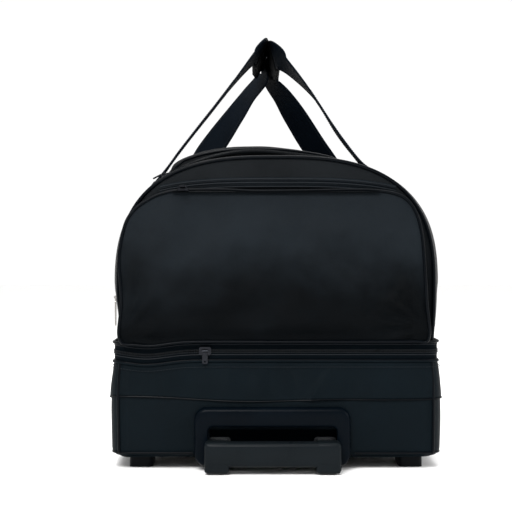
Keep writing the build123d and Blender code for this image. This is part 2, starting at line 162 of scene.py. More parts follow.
@dataclass
class Patch:
    """A piece of surface: points in mm, its faces, and lengths along it.

    Args:
        points: (n, 3) positions in mm.
        quads: (m, 4) corner numbers.
        uv: (m, 4, 2) distances along the surface in metres, one pair for each corner.
        ends: Closing faces with any number of corners.
    """

    points: np.ndarray
    quads: np.ndarray
    uv: np.ndarray
    ends: list[list[int]] = field(default_factory=list)

    @staticmethod
    def grid(
        points: np.ndarray,
        wrap_u: bool = False,
        wrap_v: bool = False,
        keep: np.ndarray | None = None,
    ) -> "Patch":
        """Joins a (rows, columns, 3) grid of points with one face for each cell.

        Args:
            points: The grid in mm.
            wrap_u: Whether the last row joins the first.
            wrap_v: Whether the last column joins the first.
            keep: Which cells get a face; all of them when left out.

        Returns:
            The patch.
        """
        rows, cols = points.shape[:2]
        cells_u = np.arange(rows if wrap_u else rows - 1)
        cells_v = np.arange(cols if wrap_v else cols - 1)
        i, j = np.meshgrid(cells_u, cells_v, indexing="ij")
        i1, j1 = (i + 1) % rows, (j + 1) % cols
        quads = np.stack([i * cols + j, i1 * cols + j, i1 * cols + j1, i * cols + j1], axis=-1)
        around = np.concatenate([points, points[:1]]) if wrap_u else points
        along_u = np.linalg.norm(np.diff(around, axis=0), axis=-1).mean(axis=1)
        beside = np.concatenate([points, points[:, :1]], axis=1) if wrap_v else points
        along_v = np.linalg.norm(np.diff(beside, axis=1), axis=-1).mean(axis=0)
        u = np.concatenate([[0.0], np.cumsum(along_u)]) * MM
        v = np.concatenate([[0.0], np.cumsum(along_v)]) * MM
        corners = ((0, 0), (1, 0), (1, 1), (0, 1))
        uv = np.stack([np.stack([u[i + a], v[j + b]], axis=-1) for a, b in corners], 2)
        mask = np.ones(i.shape, bool) if keep is None else keep
        return Patch(points.reshape(-1, 3), quads[mask], uv[mask])

    @staticmethod
    def tube(points: np.ndarray, loop: bool = False) -> "Patch":
        """Joins rings of points into a closed patch that faces outwards.

        Args:
            points: (rings, n, 3) positions in mm.
            loop: Whether the last ring joins the first; if not, both ends get a closing face.

        Returns:
            The patch.
        """
        patch = Patch.grid(points, wrap_u=loop, wrap_v=True)
        if not loop:
            n, m = points.shape[:2]
            patch.ends = [list(range(m)), list(range(n * m - 1, n * m - m - 1, -1))]
        return patch.facing()

    @staticmethod
    def join(patches: Iterable["Patch"]) -> "Patch":
        """Several patches as one, with their numbering moved on."""
        parts = list(patches)
        starts = np.cumsum([0] + [len(p.points) for p in parts])
        return Patch(
            np.concatenate([p.points for p in parts]),
            np.concatenate([p.quads + s for p, s in zip(parts, starts)]),
            np.concatenate([p.uv for p in parts]),
            [[int(c + s) for c in e] for p, s in zip(parts, starts) for e in p.ends],
        )

    def _normals(self) -> tuple[np.ndarray, np.ndarray]:
        """Middles and area normals of the faces: half the cross product of the diagonals."""
        c = self.points[self.quads]
        return c.mean(axis=1), 0.5 * np.cross(c[:, 2] - c[:, 0], c[:, 3] - c[:, 1])

    def turned(self) -> "Patch":
        """The same patch with its faces the other way round."""
        ends = [e[::-1] for e in self.ends]
        return Patch(self.points, self.quads[:, ::-1], self.uv[:, ::-1], ends)

    def facing(
        self, inside: Sequence[float] | None = None, towards: Sequence[float] | None = None
    ) -> "Patch":
        """The patch with its faces pointing away from a point inside it, or towards a direction.

        A closed patch needs neither: the sign of its volume, the sum of middle times normal, says
        which way round it is.
        """
        middle, normal = self._normals()
        if towards is not None:
            amount = (normal @ np.asarray(towards, float)).sum()
        else:
            about = self.points.mean(axis=0) if inside is None else np.asarray(inside, float)
            amount = ((middle - about) * normal).sum()
        return self if amount > 0 else self.turned()


Directions = np.ndarray | Sequence[float]


def swept(
    path: np.ndarray, side: Directions, up: Directions, profile: np.ndarray, loop: bool = False
) -> Patch:
    """A closed profile carried along a path: point = path + profile_0 side + profile_1 up.

    Args:
        path: (n, 3) points.
        side: Direction of the profile's first coordinate, one for all points or one for each.
        up: Direction of its second coordinate, likewise.
        profile: (m, 2), or (n, m, 2) where it changes along the path.
        loop: Whether the path joins its end to its start; an open one gets closing faces.

    Returns:
        A closed patch.
    """
    profile = np.broadcast_to(profile, (len(path),) + profile.shape[-2:])
    side, up = np.broadcast_to(side, path.shape), np.broadcast_to(up, path.shape)
    points = path[:, None] + profile[..., :1] * side[:, None] + profile[..., 1:] * up[:, None]
    return Patch.tube(points, loop)


def circle(radius: float, sides: int, centre: Sequence[float] = (0.0, 0.0)) -> np.ndarray:
    """A ring profile: radius (cos, sin) round a centre."""
    t = np.linspace(0, 2 * np.pi, sides, endpoint=False)
    return np.stack([centre[0] + radius * np.cos(t), centre[1] + radius * np.sin(t)], axis=-1)


def rounded(width: float, height: float, radius: float, steps: int = 4) -> np.ndarray:
    """A rectangle profile about the origin with round corners of the given radius."""
    t = np.linspace(0, np.pi / 2, steps + 1)
    corner = np.stack([np.cos(t), np.sin(t)], axis=-1) * radius
    quarter = np.array([[0, 1], [-1, 0]])
    turns = [np.eye(2), quarter, -np.eye(2), -quarter]
    spots = np.array([[1, 1], [-1, 1], [-1, -1], [1, -1]]) * (np.array([width, height]) / 2 - radius)
    return np.concatenate([spot + corner @ turn for spot, turn in zip(spots, turns)])


def frames(
    path: np.ndarray, hint: Sequence[float], loop: bool = False
) -> tuple[np.ndarray, np.ndarray]:
    """Two directions square to a path: side = run x hint, up = side x run."""
    if loop:
        run = np.roll(path, -1, 0) - np.roll(path, 1, 0)
    else:
        run = np.gradient(path, axis=0)
    run = unit(run)
    side = unit(np.cross(run, np.asarray(hint, float)))
    return side, unit(np.cross(side, run))


def cord_along(
    path: np.ndarray, radius: float, hint: Sequence[float], loop: bool = False, sides: int = 9
) -> Patch:
    """A round cord of the given radius along a path."""
    side, up = frames(path, hint, loop)
    return swept(path, side, up, circle(radius, sides), loop)


def repeated(shape: Patch, at: np.ndarray, x: np.ndarray, y: np.ndarray, z: np.ndarray) -> Patch:
    """Many copies of a small shape: point = at + p_x x + p_y y + p_z z for each place.

    Args:
        shape: The small shape, in mm about its own origin.
        at: (n, 3) places.
        x: (n, 3) directions of the shape's first axis, and so on for y and z.

    Returns:
        All copies as one patch.
    """
    px, py, pz = (shape.points[None, :, k : k + 1] for k in range(3))
    points = at[:, None] + px * x[:, None] + py * y[:, None] + pz * z[:, None]
    step = (np.arange(len(at)) * len(shape.points))[:, None, None]
    quads = (shape.quads[None] + step).reshape(-1, 4)
    uv = np.broadcast_to(shape.uv, (len(at),) + shape.uv.shape).reshape(-1, 4, 2)
    ends = [[int(c + s) for c in e] for s in step.ravel() for e in shape.ends]
    return Patch(points.reshape(-1, 3), quads, uv, ends)


def small_block(length: float, width: float, height: float, pinch: float = 0.75) -> Patch:
    """A block of six faces with a pinched top, repeated as zip teeth and stitches."""
    ring = ((-1, -1), (1, -1), (1, 1), (-1, 1))
    sign = np.array([(x, y, z) for z in (-1, 1) for x, y in ring])
    points = sign * np.array([length, width, height]) / 2
    points[4:, :2] *= pinch
    around = [[0, 1, 5, 4], [1, 2, 6, 5], [2, 3, 7, 6], [3, 0, 4, 7]]
    quads = np.array([[3, 2, 1, 0], [4, 5, 6, 7], *around])
    corner = np.array([[0, 0], [1, 0], [1, 1], [0, 1]]) * min(length, width) * MM
    return Patch(points, quads, np.broadcast_to(corner, (6, 4, 2)))


def rounded_block(
    low: Sequence[float], high: Sequence[float], radius: float, steps: int = 5
) -> Patch:
    """A box with round edges: rings along x, drawn in by radius (1 - sin t) at both ends."""
    low, high = np.asarray(low, float), np.asarray(high, float)
    size, middle = high - low, (high + low) / 2
    t = np.linspace(0.12, np.pi / 2, steps + 2)
    inset, walk = radius * (1 - np.sin(t)), radius * (1 - np.cos(t))
    walk = walk - walk[0]
    x = np.concatenate([low[0] + walk, high[0] - walk[::-1]])
    k = np.concatenate([inset, inset[::-1]])
    profile = np.stack(
        [rounded(size[1] - 2 * i, size[2] - 2 * i, max(radius - i, 0.08), steps) for i in k]
    )
    path = np.stack([x, np.full_like(x, middle[1]), np.full_like(x, middle[2])], -1)
    return swept(path, LENGTHWISE, UP, profile)


def disc(points: np.ndarray) -> Patch:
    """A panel of rings from its rim inwards, closed at its middle and measured as seen along y.

    Args:
        points: (rings, n, 3) positions in mm.

    Returns:
        The patch.
    """
    rings, n = points.shape[:2]
    patch = Patch.grid(points, wrap_v=True)
    patch.ends = [list(range((rings - 1) * n, rings * n))]
    patch.uv = patch.points[patch.quads][..., [0, 2]] * MM
    return patch


# ---------------------------------------------------------------- shader maths


Colour = tuple[float, float, float]


def rgba(colour: Colour, k: float = 1.0) -> tuple[float, float, float, float]:
    """A colour times k with full alpha."""
    return (colour[0] * k, colour[1] * k, colour[2] * k, 1.0)


class Signal:
    """One output in a node tree, with arithmetic that adds Math nodes."""

    def __init__(self, tree: "Recipe", socket: Any) -> None:
        """Keeps the tree and the socket."""
        self.tree = tree
        self.socket = socket

    def _with(self, operation: str, *others: Any) -> "Signal":
        """A Math node of this value and others."""
        return self.tree.node("ShaderNodeMath", {"operation": operation}, [self, *others])

    def __add__(self, other: Any) -> "Signal":
        """Sum."""
        return self._with("ADD", other)

    __radd__ = __add__

    def __mul__(self, other: Any) -> "Signal":
        """Product."""
        return self._with("MULTIPLY", other)

    __rmul__ = __mul__

    def __sub__(self, other: Any) -> "Signal":
        """Difference."""
        return self._with("SUBTRACT", other)

    def __rsub__(self, other: Any) -> "Signal":
        """Other minus this."""
        return self.tree.node("ShaderNodeMath", {"operation": "SUBTRACT"}, [other, self])

    def __truediv__(self, other: Any) -> "Signal":
        """Quotient."""
        return self._with("DIVIDE", other)

    def fract(self) -> "Signal":
        """What is left after the whole number."""
        return self._with("FRACT")

    def floor(self) -> "Signal":
        """The whole number below."""
        return self._with("FLOOR")

    def modulo(self, other: float) -> "Signal":
        """Remainder, never negative."""
        return self._with("FLOORED_MODULO", other)

    def sine(self) -> "Signal":
        """Sine of radians."""
        return self._with("SINE")

    def absolute(self) -> "Signal":
        """Size without the sign."""
        return self._with("ABSOLUTE")

    def over(self, low: float, high: float) -> "Signal":
        """A soft step from 0 at low to 1 at high."""
        settings = {"interpolation_type": "SMOOTHSTEP"}
        values = {"Value": self, "From Min": low, "From Max": high}
        return self.tree.node("ShaderNodeMapRange", settings, values)


class Recipe:
    """A material's node tree while it is being filled."""

    def __init__(self, name: str) -> None:
        """Starts an empty material of that name."""
        self.material = bpy.data.materials.new(name)
        self.material.use_nodes = True
        self.nodes = self.material.node_tree.nodes
        self.links = self.material.node_tree.links
        self.nodes.clear()

    def node(
        self, kind: str, settings: dict[str, Any], values: Any = (), output: int | str = 0
    ) -> Signal:
        """Adds one node.

        Args:
            kind: The node's Blender type.
            settings: Its properties, set before its sockets.
            values: Socket values or signals, as a list in socket order or a dict by socket name.
            output: The output that the signal stands for.

        Returns:
            The signal of that output.
        """
        made = self.nodes.new(kind)
        for key, value in settings.items():
            setattr(made, key, value)
        for key, value in values.items() if isinstance(values, dict) else enumerate(values):
            if isinstance(value, Signal):
                self.links.new(value.socket, made.inputs[key])
            else:
                made.inputs[key].default_value = value
        return Signal(self, made.outputs[output])

    def place(self) -> Signal:
        """Object coordinates."""
        return self.node("ShaderNodeTexCoord", {}, output="Object")

    def cloth_uv(self) -> tuple[Signal, Signal]:
        """Distances in metres along the piece's own surface."""
        uv = self.node("ShaderNodeUVMap", {"uv_map": "cloth"})
        return self.parts(uv)[:2]

    def parts(self, vector: Signal) -> tuple[Signal, Signal, Signal]:
        """The three coordinates of a vector."""
        made = self.node("ShaderNodeSeparateXYZ", {}, [vector])
        outputs = made.socket.node.outputs
        return tuple(Signal(self, outputs[k]) for k in range(3))

    def noise(self, where: Signal, scale: float, detail: float = 3.0, rough: float = 0.55) -> Signal:
        """Fractal noise of about 0 to 1."""
        values = {"Vector": where, "Scale": scale, "Detail": detail, "Roughness": rough}
        return self.node("ShaderNodeTexNoise", {}, values, "Fac")

    def mix(self, amount: Signal | float, a: Any, b: Any) -> Signal:
        """A colour between a and b."""
        return self.node("ShaderNodeMix", {"data_type": "RGBA"}, {0: amount, 6: a, 7: b}, 2)

    def bump(self, height: Signal, distance: float) -> Signal:
        """A Normal from a height in units of distance metres."""
        values = {"Height": height, "Distance": distance, "Strength": 1.0}
        return self.node("ShaderNodeBump", {}, values)

    def dyed(self, tint: Signal, colour: Colour, dark: float, pale: float) -> Signal:
        """A colour between dark and pale shares of one colour."""
        return self.mix(tint, rgba(colour, dark), rgba(colour, pale))

    def finish(self, **values: Any) -> bpy.types.Material:
        """Closes the tree with a Principled shader; underscores in the names stand for spaces."""
        sockets = {k.replace("_", " "): v for k, v in values.items()}
        shader = self.node("ShaderNodeBsdfPrincipled", {}, sockets)
        out = self.nodes.new("ShaderNodeOutputMaterial")
        self.links.new(shader.socket, out.inputs["Surface"])
        return self.material


@dataclass(frozen=True)
class Finish(ABC):
    """What a surface is made of, as a material that is built once."""

    name: str
    colour: Colour

    @abstractmethod
    def recipe(self) -> bpy.types.Material:
        """Builds the material."""

    def material(self) -> bpy.types.Material:
        """The material, built at its first use."""
        return bpy.data.materials.get(self.name) or self.recipe()


DARK, PALE = 0.62, 1.5  # shares of a cloth's colour between which its dye wanders


@dataclass(frozen=True)
class WovenCloth(Finish):
    """Plain-woven polyester: crossing threads, uneven dye, painted shade low down and a greyer painted
    highlight higher up.
    """

    pitch: float = 0.0009
    gloss: float = 0.5
    depth: float = 0.00016
    specular: float = 0.1
    # gains scale the colour low down (painted shade) and high up (painted highlight); span gives the
    # heights in metres between them.
    gains: tuple[float, float] = (1.0, 1.0)
    span: tuple[float, float] = (0.16, 0.30)

    @property
    def painted_top_light(self) -> Colour:
        """The colour of the painted highlight higher up: greyer than the cloth's own colour."""
        middle = sum(self.colour) / 3
        return tuple(0.45 * c + 0.55 * middle for c in self.colour)

    def recipe(self) -> bpy.types.Material:
        """Threads cross in a checker: height is sin(pi u) on one square and sin(pi v) on the next."""
        r = Recipe(self.name)
        u, v = r.cloth_uv()
        u, v = u / self.pitch, v / self.pitch
        parity = (u.floor() + v.floor()).modulo(2.0)
        across = (u.fract() * math.pi).sine()
        along = (v.fract() * math.pi).sine()
        weave = parity * across + (1.0 - parity) * along
        spot = r.place()
        cloud = r.noise(spot, 14.0, 4.0)
        grain = r.noise(spot, 420.0, 2.0)
        tint = (cloud - 0.5) * 0.9 + (grain - 0.5) * 0.5 + weave * 0.35 + 0.3
        # Painted light: from the low colour, darkened by its gain as painted shade, up to the greyer
        # painted highlight higher up.
        painted_light_share = (r.parts(spot)[2] + (cloud - 0.5) * 0.16).over(*self.span)
        low, high = self.gains
        low_colour = r.dyed(tint, self.colour, DARK * low, PALE * low)
        painted_top_light = r.dyed(tint, self.painted_top_light, DARK * high, PALE * high)
        base = r.mix(painted_light_share, low_colour, painted_top_light)
        height = weave + grain * 0.6
        normal = r.bump(height, self.depth)
        rough = self.gloss + (cloud - 0.5) * 0.2 + (1.0 - weave) * 0.12
        return r.finish(
            Base_Color=base, Roughness=rough, Normal=normal, Specular_IOR_Level=self.specular
        )


@dataclass(frozen=True)
class RibbedWebbing(Finish):
    """Webbing woven in ribs across its width, with fine threads between them."""

    rib: float = 0.0019
    thread: float = 0.0011

    def recipe(self) -> bpy.types.Material:
        """Ribs are |sin(pi u / rib)| along the strap, and threads run across them."""
        r = Recipe(self.name)
        u, v = r.cloth_uv()
        ribs = (u * (math.pi / self.rib)).sine().absolute()
        threads = (v * (2 * math.pi / self.thread)).sine()
        spot = r.place()
        cloud = r.noise(spot, 30.0, 3.0)
        fuzz = r.noise(spot, 700.0, 2.0)
        tint = ribs * 0.5 + (cloud - 0.5) * 0.8 + (fuzz - 0.5) * 0.4 + 0.25
        return r.finish(
            Base_Color=r.dyed(tint, self.colour, 0.55, PALE),
            Roughness=0.55 + (fuzz - 0.5) * 0.2,
            Normal=r.bump(ribs + threads * 0.18 + fuzz * 0.4, 0.00035),
            Specular_IOR_Level=0.02,
        )


@dataclass(frozen=True)
class Grained(Finish):
    """Moulded or coated surface with a fine grain: plastic, piping vinyl, rubber, board."""

    rough: float = 0.45
    grain: float = 900.0
    depth: float = 0.00008
    vary: float = 0.25
    specular: float = 0.4

    def recipe(self) -> bpy.types.Material:
        """Colour and roughness wander with a wide noise, and the bump is a fine one."""
        r = Recipe(self.name)
        spot = r.place()
        cloud = r.noise(spot, 22.0, 4.0)
        fine = r.noise(spot, self.grain, 3.0)
        tint = 0.5 + (cloud - 0.5) * 1.2 + (fine - 0.5) * 0.4
        return r.finish(
            Base_Color=r.dyed(tint, self.colour, 1 - self.vary, 1 + self.vary),
            Roughness=self.rough + (cloud - 0.5) * 0.22 + (fine - 0.5) * 0.1,
            Normal=r.bump(fine, self.depth),
            Specular_IOR_Level=self.specular,
        )


@dataclass(frozen=True)
class BrushedMetal(Finish):
    """Metal with fine scratches along one axis and slightly dull patches."""

    rough: float = 0.25
    stretch: tuple[float, float, float] = (1.0, 0.04, 1.0)
    scratch: float = 900.0

    def recipe(self) -> bpy.types.Material:
        """The scratch noise is stretched along an axis; a wide noise dulls the gloss in patches."""
        r = Recipe(self.name)
        spot = r.place()
        drawn = r.node("ShaderNodeMapping", {}, {"Vector": spot, "Scale": self.stretch})
        lines = r.noise(drawn, self.scratch, 2.0)
        cloud = r.noise(spot, 60.0, 3.0)
        return r.finish(
            Base_Color=r.dyed(0.5 + (lines - 0.5) * 0.8, self.colour, 0.85, 1.1),
            Roughness=self.rough + (cloud - 0.5) * 0.18 + (lines - 0.5) * 0.12,
            Metallic=1.0,
            Normal=r.bump(lines, 0.00002),
        )


class Wear(Enum):
    """The bag's finishes, named for what they cover."""

    # Shell: painted shade halves its colour low down, and a painted highlight lifts it 1.5 times from
    # 0.2 m up to 0.33 m.
    SHELL = WovenCloth(
        "shell cloth",
        (0.0020, 0.0033, 0.0046),
        gloss=0.4,
        specular=0.04,
        gains=(0.5, 1.5),
        span=(0.2, 0.33),
    )
    LOWER = WovenCloth("lower cloth", (0.0017, 0.0035, 0.0049), gloss=0.4, specular=0.028)
    # Pocket: painted shade cuts its colour to a quarter low down, and a painted highlight lifts it 2.35
    # times from 0.15 m up to 0.28 m.
    POCKET = WovenCloth(
        "pocket cloth",
        (0.0012, 0.0029, 0.0046),
        gloss=0.38,
        specular=0.03,
        gains=(0.25, 2.35),
        span=(0.15, 0.28),
    )
    LID = WovenCloth("lid cloth", (0.0025, 0.0038, 0.0050), specular=0.03)
    LINING = WovenCloth("lining", (0.012, 0.013, 0.015), pitch=0.0006, gloss=0.5, specular=0.1)
    GRIP_WRAP = WovenCloth(
        "grip wrap", (0.0014, 0.0020, 0.0028), pitch=0.0013, gloss=0.6, specular=0.015
    )
    TAPE = WovenCloth("zip tape", (0.0010, 0.0020, 0.0030), pitch=0.0006, gloss=0.6, specular=0.015)
    WEBBING = RibbedWebbing("ribbed webbing", (0.0012, 0.0025, 0.0044))
    PIPING = Grained("vinyl piping", (0.0008, 0.0014, 0.0022), rough=0.3, depth=0.00003, specular=0.04)
    COIL = Grained("zip coil", (0.0034, 0.0046, 0.0060), rough=0.3, specular=0.12)
    THREAD = Grained("thread", (0.0070, 0.0086, 0.0106), rough=0.45, grain=2500.0, specular=0.08)
    BEZEL = Grained("bezel moulding", (0.0009, 0.0020, 0.0034), rough=0.28, specular=0.025)
    # The bezel's recess: the bezel plastic painted darker and duller, as painted shade.
    SHADED_RECESS = Grained("painted shade recess", (0.0004, 0.0010, 0.0018), rough=0.6, specular=0.005)
    GRIP = Grained("grip moulding", (0.0042, 0.0058, 0.0070), rough=0.3, depth=0.00003, specular=0.04)
    TRIGGER = Grained("trigger plastic", (0.004, 0.005, 0.006), rough=0.35, specular=0.08)
    SKID = Grained("skid plastic", (0.0016, 0.0022, 0.0030), rough=0.45, depth=0.00012, specular=0.05)
    COLLAR = Grained("collar plastic", (0.006, 0.007, 0.008), rough=0.4, specular=0.25)
    BOARD = Grained("base board", (0.02, 0.019, 0.018), rough=0.6, grain=260.0, depth=0.0002)
    TYRE = Grained("tyre rubber", (0.007, 0.0072, 0.0078), rough=0.6, depth=0.0001, specular=0.12)
    HUB = Grained("hub plastic", (0.012, 0.0126, 0.014), rough=0.36, specular=0.25)
    TUBE = BrushedMetal("tube aluminium", (0.62, 0.63, 0.65), rough=0.32)
    AXLE = BrushedMetal("axle steel", (0.55, 0.55, 0.56), rough=0.28, stretch=(0.05, 1.0, 1.0))
    NICKEL = BrushedMetal("bright nickel", (0.27, 0.26, 0.25), rough=0.24, scratch=400.0)
    ZINC = BrushedMetal("black zinc", (0.016, 0.017, 0.020), rough=0.3, scratch=500.0)

    @property
    def material(self) -> bpy.types.Material:
        """The finish's material."""
        return self.value.material()


# ---------------------------------------------------------------- pieces


@dataclass
class Piece:
    """One finished piece, and how it is made.

    Args:
        name: Its object name.
        body: The moving body that it rides on.
        slot: The record's material slot; not used.
        replaces: The CAD nodes that it stands for.
        crosses: For cloth over a joint, the body at its other end, and two places in metres; such a
            piece is left in place, hung on no body.
    """

    name: str
    body: str
    slot: str
    replaces: tuple[str, ...] = ()
    crosses: tuple[str, Sequence[float], Sequence[float]] | None = None

    def make(
        self,
        parts: Sequence[tuple[Patch, Wear]],
        wall: float = 0.0,
        sharp: float = 50.0,
        merge: bool = False,
    ) -> bpy.types.Object:
        """Puts patches into one object at the origin and hangs it on its body, unless it crosses a
        joint.

        Args:
            parts: Patches with the finish of each.
            wall: Thickness in mm added inwards to an open surface.
            sharp: Angle in degrees over which an edge stays sharp.
            merge: Whether points that meet are merged.

        Returns:
            The object.
        """
        whole = Patch.join(p for p, _ in parts)
        mesh = bpy.data.meshes.new(self.name)
        mesh.from_pydata((whole.points * MM).tolist(), [], whole.quads.tolist() + whole.ends)
        wears = list(dict.fromkeys(w for _, w in parts))
        for wear in wears:
            mesh.materials.append(wear.material)
        kinds = [np.full(len(p.quads), wears.index(w)) for p, w in parts]
        kinds += [np.full(len(p.ends), wears.index(w)) for p, w in parts]
        mesh.polygons.foreach_set("material_index", np.concatenate(kinds).astype(np.int32))
        uv = np.zeros((len(mesh.loops), 2))
        uv[: whole.uv.size // 2] = whole.uv.reshape(-1, 2)
        mesh.uv_layers.new(name="cloth").data.foreach_set("uv", uv.ravel())
        mesh.shade_smooth()
        mesh.set_sharp_from_angle(angle=math.radians(sharp))
        mesh.update()
        obj = bpy.data.objects.new(self.name, mesh)
        bpy.context.scene.collection.objects.link(obj)
        if merge:
            weld = obj.modifiers.new("weld", "WELD")
            weld.merge_threshold = 0.00002
        if wall:
            solid = obj.modifiers.new("wall", "SOLIDIFY")
            solid.thickness = wall * MM
            solid.offset = -1.0
        if self.crosses is None:
            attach(obj, self.body)
        else:
            other, start, end = self.crosses
            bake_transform(obj)
            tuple(start)
            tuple(end)
        if self.replaces:
            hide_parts(*self.replaces)
        log.info("%s on %s: %d faces", self.name, self.body, len(mesh.polygons))
        return obj


def corner(node: str, which: int, axis: int) -> float:
    """One coordinate in mm of a CAD node's box: which 0 is lowest, 1 is highest."""
    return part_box(node)[which][axis] / MM


@dataclass
class BagForm:
    """The filled bag's outside, shared by every panel sewn to it.

    The section is a superellipse |x / a|^n + |(z - z1) / b|^n = 1 above z1, and a slightly
    tapering wall under it. Near both ends it shrinks to the end panels' size.
    """

    near: float = field(default_factory=lambda: corner("upper_end_near", 0, 1))
    far: float = field(default_factory=lambda: corner("upper_end_far", 1, 1))
    low_half: float = 178.0
    plan_corner: float = 16.0
    corner_steps: int = 9
    base: float = 139.0
    shoulder: float = 200.0
    power: float = 2.75
    half_left: float = 182.5
    half_right: float = 185.0
    half_end: float = 174.0
    rise: float = 147.0
    rise_end: float = 143.5
    foot: float = 178.6
    zip_z: float = 186.84
    zip_surface: float = 179.3

    @property
    def length(self) -> float:
        """Fabric length from end face to end face."""
        return self.far - self.near

    def swell(self, d: np.ndarray | float) -> np.ndarray:
        """0 at the end faces, 1 more than 62 mm in: sin of the share of that run."""
        d = np.asarray(d, float)
        return np.sin(np.pi / 2 * np.clip(np.minimum(d, self.length - d) / 62.0, 0, 1))

    def half(self, d: np.ndarray, side: np.ndarray) -> np.ndarray:
        """The superellipse's half width at distance d for side -1 or 1."""
        full = np.where(side < 0, self.half_left, self.half_right)
        return self.half_end + (full - self.half_end) * self.swell(d)

    def wall_x(self, z: np.ndarray, d: np.ndarray, side: np.ndarray) -> np.ndarray:
        """Distance from the middle plane of the side wall at height z.

        a (1 - u^n)^(1/n) over the shoulder height, pulled in towards the belt under it, and drawn
        in along the side zip. The left side slumps a little beside the zip's start.
        """
        s = self.swell(d)
        a = self.half(d, side)
        b = self.rise_end + (self.rise - self.rise_end) * s
        up = np.clip((z - self.shoulder) / b, 0, 1)
        w = a * (1 - up**self.power) ** (1 / self.power)
        low = np.clip((self.shoulder - z) / (self.shoulder - self.base), 0, 1)
        foot = 172.0 + (self.foot - 172.0) * s
        near_end = w - (a - foot) * low**2.2
        slump = 2.6 * bell(z - 166, 17) * smooth((90 - d) / 40) * (side < 0)
        above = w - np.maximum(w - self.zip_surface, 0) * bell(z - self.zip_z, 9.0)
        climb = np.clip((z - self.base) / (self.zip_z - self.base), 0, 1)
        below = foot + (self.zip_surface - foot) * climb
        drawn = np.where(z > self.zip_z, above, below)
        return near_end + (drawn - near_end) * smooth((s - 0.55) / 0.45) - slump

    def top_z(self, x: np.ndarray, d: np.ndarray) -> np.ndarray:
        """Height of the top at x: z1 + b (1 - |x / a|^n)^(1/n)."""
        s = self.swell(d)
        b = self.rise_end + (self.rise - self.rise_end) * s
        a = self.half(d, np.sign(x))
        share = np.clip(np.abs(x) / a, 0, 1)
        return self.shoulder + b * (1 - share**self.power) ** (1 / self.power)

    def spread(self, count: int) -> np.ndarray:
        """Angles on the superellipse, evenly spaced along it from the left foot to the right."""
        t = np.linspace(0, np.pi, 4001)
        x = -np.sign(np.cos(t)) * np.abs(np.cos(t)) ** (2 / self.power) * self.half_left
        z = np.abs(np.sin(t)) ** (2 / self.power) * self.rise
        run = walked(np.stack([x, z], -1))
        return np.interp(np.linspace(0, run[-1], count), run, t)

    def tuck(self, z: np.ndarray, d: np.ndarray) -> np.ndarray:
        """How far the end panels' bottom corners draw back to the rounded belt."""
        depth = np.minimum(d, self.length - d)
        sign = np.where(d < self.length / 2, 1.0, -1.0)
        low = np.clip(1 - (z - self.base) / 70, 0, 1)
        return sign * 4.5 * low**2 * np.clip(1 - depth / 50, 0, 1) ** 2

    def section(self, angles: np.ndarray, walls: int, d: np.ndarray) -> np.ndarray:
        """Points (len(d), columns, 3) of the section at each distance d: wall, arch, wall."""
        d = np.asarray(d, float)[:, None]
        z_wall = np.linspace(self.base, self.shoulder, walls, endpoint=False)[None]
        s = self.swell(d)
        b = self.rise_end + (self.rise - self.rise_end) * s
        c, si = np.cos(angles)[None], np.abs(np.sin(angles))[None]
        side = np.where(c > 0, -1.0, 1.0)
        z_arch = self.shoulder + b * si ** (2 / self.power)
        x_arch = side * self.half(d, side) * np.abs(c) ** (2 / self.power)
        near_wall = bell(z_arch - self.shoulder, 30.0)
        x_arch = x_arch + (side * self.wall_x(z_arch, d, side) - x_arch) * near_wall
        shape = (len(d), walls)
        left = -self.wall_x(z_wall, d, np.full(shape, -1.0))
        right = self.wall_x(z_wall, d, np.full(shape, 1.0))
        z_wall = np.broadcast_to(z_wall, shape)
        x = np.concatenate([left, x_arch, right[:, ::-1]], axis=1)
        z = np.concatenate([z_wall, z_arch, z_wall[:, ::-1]], axis=1)
        y = self.near + d + self.tuck(z, d) * (np.abs(x) / 170) ** 6
        return self.settle(np.stack([x, np.broadcast_to(y, x.shape), z], axis=-1))

    def settle(self, p: np.ndarray) -> np.ndarray:
        """Lowers the belt line where the fabric slumps near the left front corner."""
        x, y, z = p[..., 0], p[..., 1], p[..., 2]
        spot = bell(x + 142.0, 30.0) * bell(np.maximum(y - self.near, 0), 90.0)
        level = bell(np.maximum(z - 145, 0), 26) * bell(np.minimum(z - 118, 0), 26)
        return np.stack([x, y, z - 5.0 * spot * level], axis=-1)

    def plan(self, out: float, across: int = 60, along: int = 90) -> tuple[np.ndarray, np.ndarray]:
        """The body's rounded rectangle seen from above, from the middle of the far end.

        Args:
            out: How far it is grown, in mm.
            across: Points on an end.
            along: Points on a long side.

        Returns:
            (n, 2) points and (n, 2) outward directions.
        """
        hx, hy = self.low_half - self.plan_corner, self.length / 2 - self.plan_corner
        r = self.plan_corner + out
        t = np.linspace(0, np.pi / 2, self.corner_steps)
        arc = np.stack([np.cos(t), np.sin(t)], axis=-1)
        x = np.linspace(-1, 1, across)[:, None] * [hx, 0]
        y = np.linspace(-1, 1, along)[:, None] * [0, hy]
        half, to_right, to_far = across // 2, np.array([1.0, 0.0]), np.array([0.0, 1.0])
        right, far = to_right * hx, to_far * hy
        runs = [
            (x[half:] + far, to_far),
            (right + far, arc[::-1]),
            (right - y, to_right),
            (right - far, arc * [1, -1]),
            (-x - far, -to_far),
            (-right - far, (arc * [-1, -1])[::-1]),
            (y - right, -to_right),
            (far - right, arc * [-1, 1]),
            (x[:half] + far, to_far),
        ]
        whole = [np.broadcast_arrays(p, n) for p, n in runs]
        points = np.concatenate([p[1:] for p, _ in whole])
        normal = np.concatenate([n[1:] for _, n in whole])
        spot = points + normal * r + [0.0, self.near + self.length / 2]
        far_apart = np.linalg.norm(spot - np.roll(spot, 1, 0), axis=1) > 0.01
        return spot[far_apart], normal[far_apart]

    def rim(self, z: float, out: float) -> tuple[np.ndarray, np.ndarray]:
        """A loop round the belt at height z: points and outward directions."""
        spot, normal = self.plan(out)
        flat = np.zeros((len(spot), 1))
        points = self.settle(np.concatenate([spot, flat + z], axis=1))
        return points, np.concatenate([normal, flat], axis=1)


